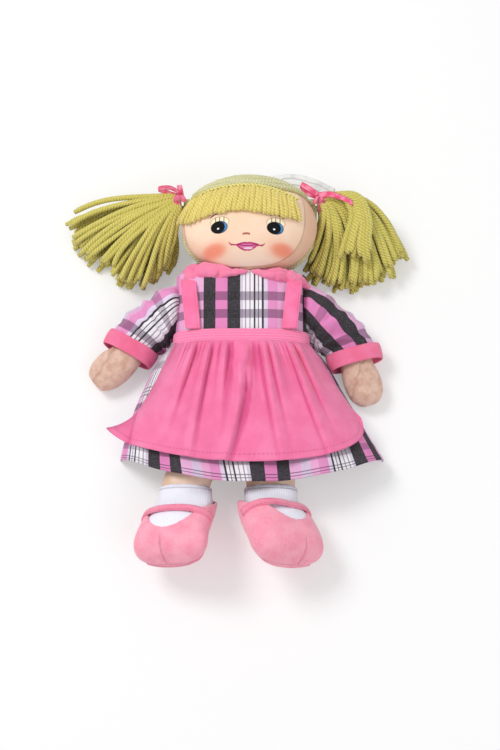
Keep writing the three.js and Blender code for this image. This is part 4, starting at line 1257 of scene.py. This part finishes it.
stitch_line = [(-47, 128), (-41, 130), (-25.5, 134.3), (-3, 136.3), (14.4, 135.8), (30, 132.5), (46, 127.5),
               (53, 124.5)]
fringe_edge = [(-59.5, 110.5), (-54, 107), (-47.6, 104.6), (-42, 105.4), (-31.2, 107.3), (-2.9, 109.3),
               (13.5, 107.8), (29.9, 106), (46, 104.5), (53.5, 104)]
runs = []
strands = 29
for k in range(strands):
    share = k / (strands - 1)
    top = between(stitch_line, 0.02 + 0.93 * share)
    low = between(fringe_edge, share)
    path = []
    for n in range(13):
        t = n / 12
        x = top[0] + (low[0] - top[0]) * t + 0.5 * sin(k * 1.7 + t * 5)
        y = top[1] + (low[1] - top[1] + rng.uniform(-0.8, 0.8)) * t
        path.append(front_of_head(x, y, 2.2 + sin(pi * min(t * 1.1, 1)) + 0.5 * (k % 2)))
    runs.append((path, 2.5))
fringe = yarn("fringe_strands", runs, 10)
dressed(fringe, fringe_yarn)
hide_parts("hair_fringe")
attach(fringe, "head")

stitch_thread, wire = new_finish("stitch_thread", 0.7, 0.2)
across, along = on_cloth(wire, 1.0, 1.0)
link = wave(along, 4.2)
# Painted highlight and shade: each link of the chain is painted lighter on its crest, darker between.
tint = mixed(rise(link, -0.8, 0.6), "b3a53f", "eee38a")
colour_and_bump(stitch_thread, tint, link, 0.5)
runs = []
count = 60
for k in range(count):
    path = []
    for n in range(5):
        x, y = between(stitch_line, (k + 1.15 * n / 4) / (count + 0.2))
        path.append(front_of_head(x, y + 0.35 * (1 if k % 2 else -1), 4.5 + 0.9 * sin(pi * n / 4)))
    runs.append((path, 1.05))
stitches = yarn("parting_chain", runs, 6)
dressed(stitches, stitch_thread)
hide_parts("parting_stitch")
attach(stitches, "head")


# ---------------------------------------------------------------- pigtails
# Bundles of the same yarn, tied tight at each side of the head and cut blunt. One fans
# out flat over the table, the other falls beside the face with a lock folded back.
# Each fan: where it is tied, two lines that its strands bend at, and the line of their ends.
pigtail_fans = {
    "right": {
        "tie": (-61, 138.5, 40),
        "first": [(-98, 146), (-94, 132), (-84, 116), (-62, 120)],
        "second": [(-135, 146), (-133, 116), (-112, 92), (-95, 88), (-63, 102)],
        "ends": [(-167.4, 133.2), (-165.8, 116.6), (-161.5, 103.2), (-146.5, 88.8), (-125.1, 82.7),
                 (-118.9, 66.4), (-99.6, 63.4), (-88.1, 65), (-68, 84)],
    },
    "left": {
        "tie": (76, 138.5, 40),
        "first": [(119.4, 151.8), (112.5, 147.7), (104.7, 144.5), (96.9, 142.5), (90.1, 141.4),
                  (80.4, 137.3)],
        "second": [(136, 132.1), (130.8, 106.5), (115.4, 101.4), (103.8, 96.3), (89.4, 96.3), (75, 101.4)],
        "ends": [(159.8, 93.9), (150.9, 87.8), (144.1, 86.8), (142.8, 72.5), (133, 67.4), (120.4, 63.4),
                 (110.8, 62.3), (99.2, 60.3), (84.9, 65.4), (68.6, 70.5), (62, 82.7)],
    },
}
locks = (
    [(80, 139, 47), (93, 143, 52), (103, 137, 51), (108.5, 123.7, 48), (104.3, 103.6, 44), (98.2, 81.5, 36)],
    [(80, 139, 46), (100, 144, 50), (112, 138, 50), (118.9, 117.4, 46), (117.5, 97.3, 42), (121.8, 77.3, 32)],
)


def spread(line, share, aside, along):
    """A place on a line of the fan, and a little off it."""
    off = Vector((rng.uniform(-aside, aside), rng.uniform(-along, along), 0))
    return Vector((*between(line, share), 0)) + off


layers, in_layer, steps = 5, 21, 18
for side, fan in pigtail_fans.items():
    rng = random.Random(11 if side == "right" else 23)
    tie = Vector(fan["tie"])
    runs = []
    for layer in range(layers):
        for k in range(in_layer):
            share = (k + rng.uniform(0.0, 1.0)) / in_layer
            late = min(max(share + rng.uniform(-0.05, 0.05), 0), 1)
            start = tie + Vector((rng.uniform(-3, 3), 5.5 - 11 * share, (layer - 2) * 2.8))
            one = spread(fan["first"], share, 3, 4)
            two = spread(fan["second"], late, 4, 5)
            end = spread(fan["ends"], late, 4, 4)
            end = two + (end - two) * rng.uniform(0.84, 1.04)
            one.z = 12 + 8.5 * layer + rng.uniform(-3, 3)
            two.z = 5 + 7.5 * layer + rng.uniform(-3, 3)
            end.z = 3.6 + 4.8 * layer + rng.uniform(-2, 2)
            phase, reach = rng.uniform(0, 6.3), rng.uniform(0.6, 1.8)
            path = []
            for n in range(steps + 1):
                t = n / steps
                p = start * (1 - t) ** 3 + one * 3 * t * (1 - t) ** 2 + two * 3 * t * t * (1 - t)
                p += end * t ** 3
                p += Vector((sin(t * 7 + phase), cos(t * 6 + phase), 0)) * reach * t
                p.z = max(p.z, 3.0)
                path.append(p)
            runs.append((path, rng.uniform(2.4, 2.8)))
    if side == "left":
        # The lock that is folded back over the fan.
        for k in range(9):
            line = locks[k % 2]
            aside = Vector(((k // 2 - 2) * 3.4, (k // 2 - 2) * 0.8, rng.uniform(-2, 2)))
            last = rng.uniform(0.86, 1.0)
            path = []
            for n in range(steps + 1):
                t = n / steps
                path.append(Vector(between(line, t * last)) + aside * (0.4 + 0.6 * t))
            runs.append((path, 2.6))
    pigtail = yarn(side + "_pigtail_yarn", runs)
    dressed(pigtail, hair_yarn)
    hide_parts(side + "_pigtail")
    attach(pigtail, side + "_hair")


# ---------------------------------------------------------------- ribbons and tape
# Narrow pink satin ribbon, knotted round each pigtail in a small flat bow. A white satin
# tape is sewn to the back of the head.
def strip(name, path, width, thickness=0.8):
    """A ribbon along a path: each point has its place and the way across the ribbon."""
    def place(u, v):
        station = between(path, v)
        across = Vector(station[3:6]).normalized() * width
        return Vector(station[:3]) + across * (u - 0.5)

    piece = cut_cloth(name, 8, 40, place)
    thickened(piece, thickness)
    return piece


ribbon_satin, wire = new_finish("ribbon_satin", 0.38, 0.4)
across, along = on_cloth(wire, 8.0, 40.0)
threads = wave(along, 0.5)
# Painted sheen: pale patches over the satin, and its edges darker than its middle.
tint = mixed(rise(mottle(wire, 5), 0.35, 0.7), "f0507f", "fc9dba")
tint = mixed(stripe(across, 0.8, 7.2, 0.3), "e0466f", tint)
colour_and_bump(ribbon_satin, tint, threads * 0.1 + mottle(wire, 4) * 2, 0.3)
bows = {
    "right": [
        ([(-57, 144, 50, 0, 0.5, 1), (-68, 149, 52, 0, 0.6, 0.8), (-79, 148.5, 50, 0, 0.7, 0.7),
          (-69, 146, 47, 0, 0.5, 1), (-57, 142.5, 46, 0, 0.4, 1)], 4.6),
        ([(-57, 143, 49, 1, 0.2, 0.2), (-58.5, 150, 51, 1, 0.2, 0.3), (-59.5, 153, 48, 1, 0, 0.4),
          (-58.5, 149, 46, 1, 0, 0.4), (-57, 143, 47, 1, 0, 0.3)], 4.4),
        ([(-57, 142, 50, 1, 0, 0.3), (-55, 138, 53, 1, 0.2, 0.2), (-54, 134.5, 53, 1, 0.2, 0.2)], 4.0),
    ],
    "left": [
        ([(72, 142.5, 50, 0.6, 0.6, 0.3), (64, 147.5, 53, 0.5, 0.7, 0.3), (56.5, 152.5, 51, 0.4, 0.8, 0.3),
          (63, 146, 48, 0.5, 0.7, 0.4), (72, 141.5, 47, 0.6, 0.6, 0.3)], 5.4),
        ([(73, 142, 51, 0.2, 1, 0.3), (84, 141.5, 54, 0.1, 1, 0.4), (94, 138.5, 54, -0.1, 1, 0.4),
          (105, 133, 53, -0.2, 1, 0.4)], 5.6),
        ([(73, 141.5, 50, 1, 0.2, 0.2), (70, 136, 52, 1, 0, 0.3), (69.5, 133, 50, 1, 0, 0.3)], 4.0),
    ],
}
for side, loops in bows.items():
    parts = [strip("loop", path, width) for path, width in loops]
    centre = Vector(pigtail_fans[side]["tie"])
    turns = []
    for k in range(25):
        turn = 2 * pi * k / 24
        turns.append((centre.x, centre.y + 9 * cos(turn), centre.z - 1 + 9.5 * sin(turn), 1, 0, 0))
    parts.append(strip("tie", turns, 6.0))
    parts.append(bag("knot", [
        (centre.x - 3.4, centre.y + 0.5, centre.z + 8.6, 0, 2.2, 0, 0, 0, 1.8),
        (centre.x, centre.y + 0.5, centre.z + 9.6, 0, 3.6, 0, 0, 0, 2.6),
        (centre.x + 3.4, centre.y + 0.5, centre.z + 8.6, 0, 2.2, 0, 0, 0, 1.8),
    ], 2.4, 16, 12))
    bow = joined(side + "_bow", parts)
    dressed(bow, ribbon_satin)
    side + "_pigtail_yarn"
    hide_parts(side + "_ribbon")
    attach(bow, side + "_hair")

tape_satin, wire = new_finish("tape_satin", 0.4, 0.3)
across, along = on_cloth(wire, 19.0, 82.0)
crease = mottle(wire, 9, 2)
fold = stripe(across + crease * 5, 7.0, 8.2, 0.8) + stripe(across + crease * 4, 14.5, 15.4, 0.8)
tint = mixed(rise(crease, 0.3, 0.6), "ececf2", "ffffff")
# Painted shade: grey lines along the tape's folds.
tint = mixed(fold * 0.5, tint, "bdbdca")
colour_and_bump(tape_satin, tint, wave(across, 0.6) * 0.1 + crease * 1.5 - fold * 2, 0.4)
tape = strip("satin_tape", [
    (12, 150, 17, -0.3, 1, 0.1), (26, 166, 15, -0.3, 1, 0.1), (46, 173, 11, -0.05, 1, 0.12),
    (68, 170, 8, 0.2, 1, 0.1), (90, 161, 4, 0.3, 1, 0.05),
], 15.0, 0.7)
dressed(tape, tape_satin)
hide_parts("sewn_label")
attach(tape, "head")
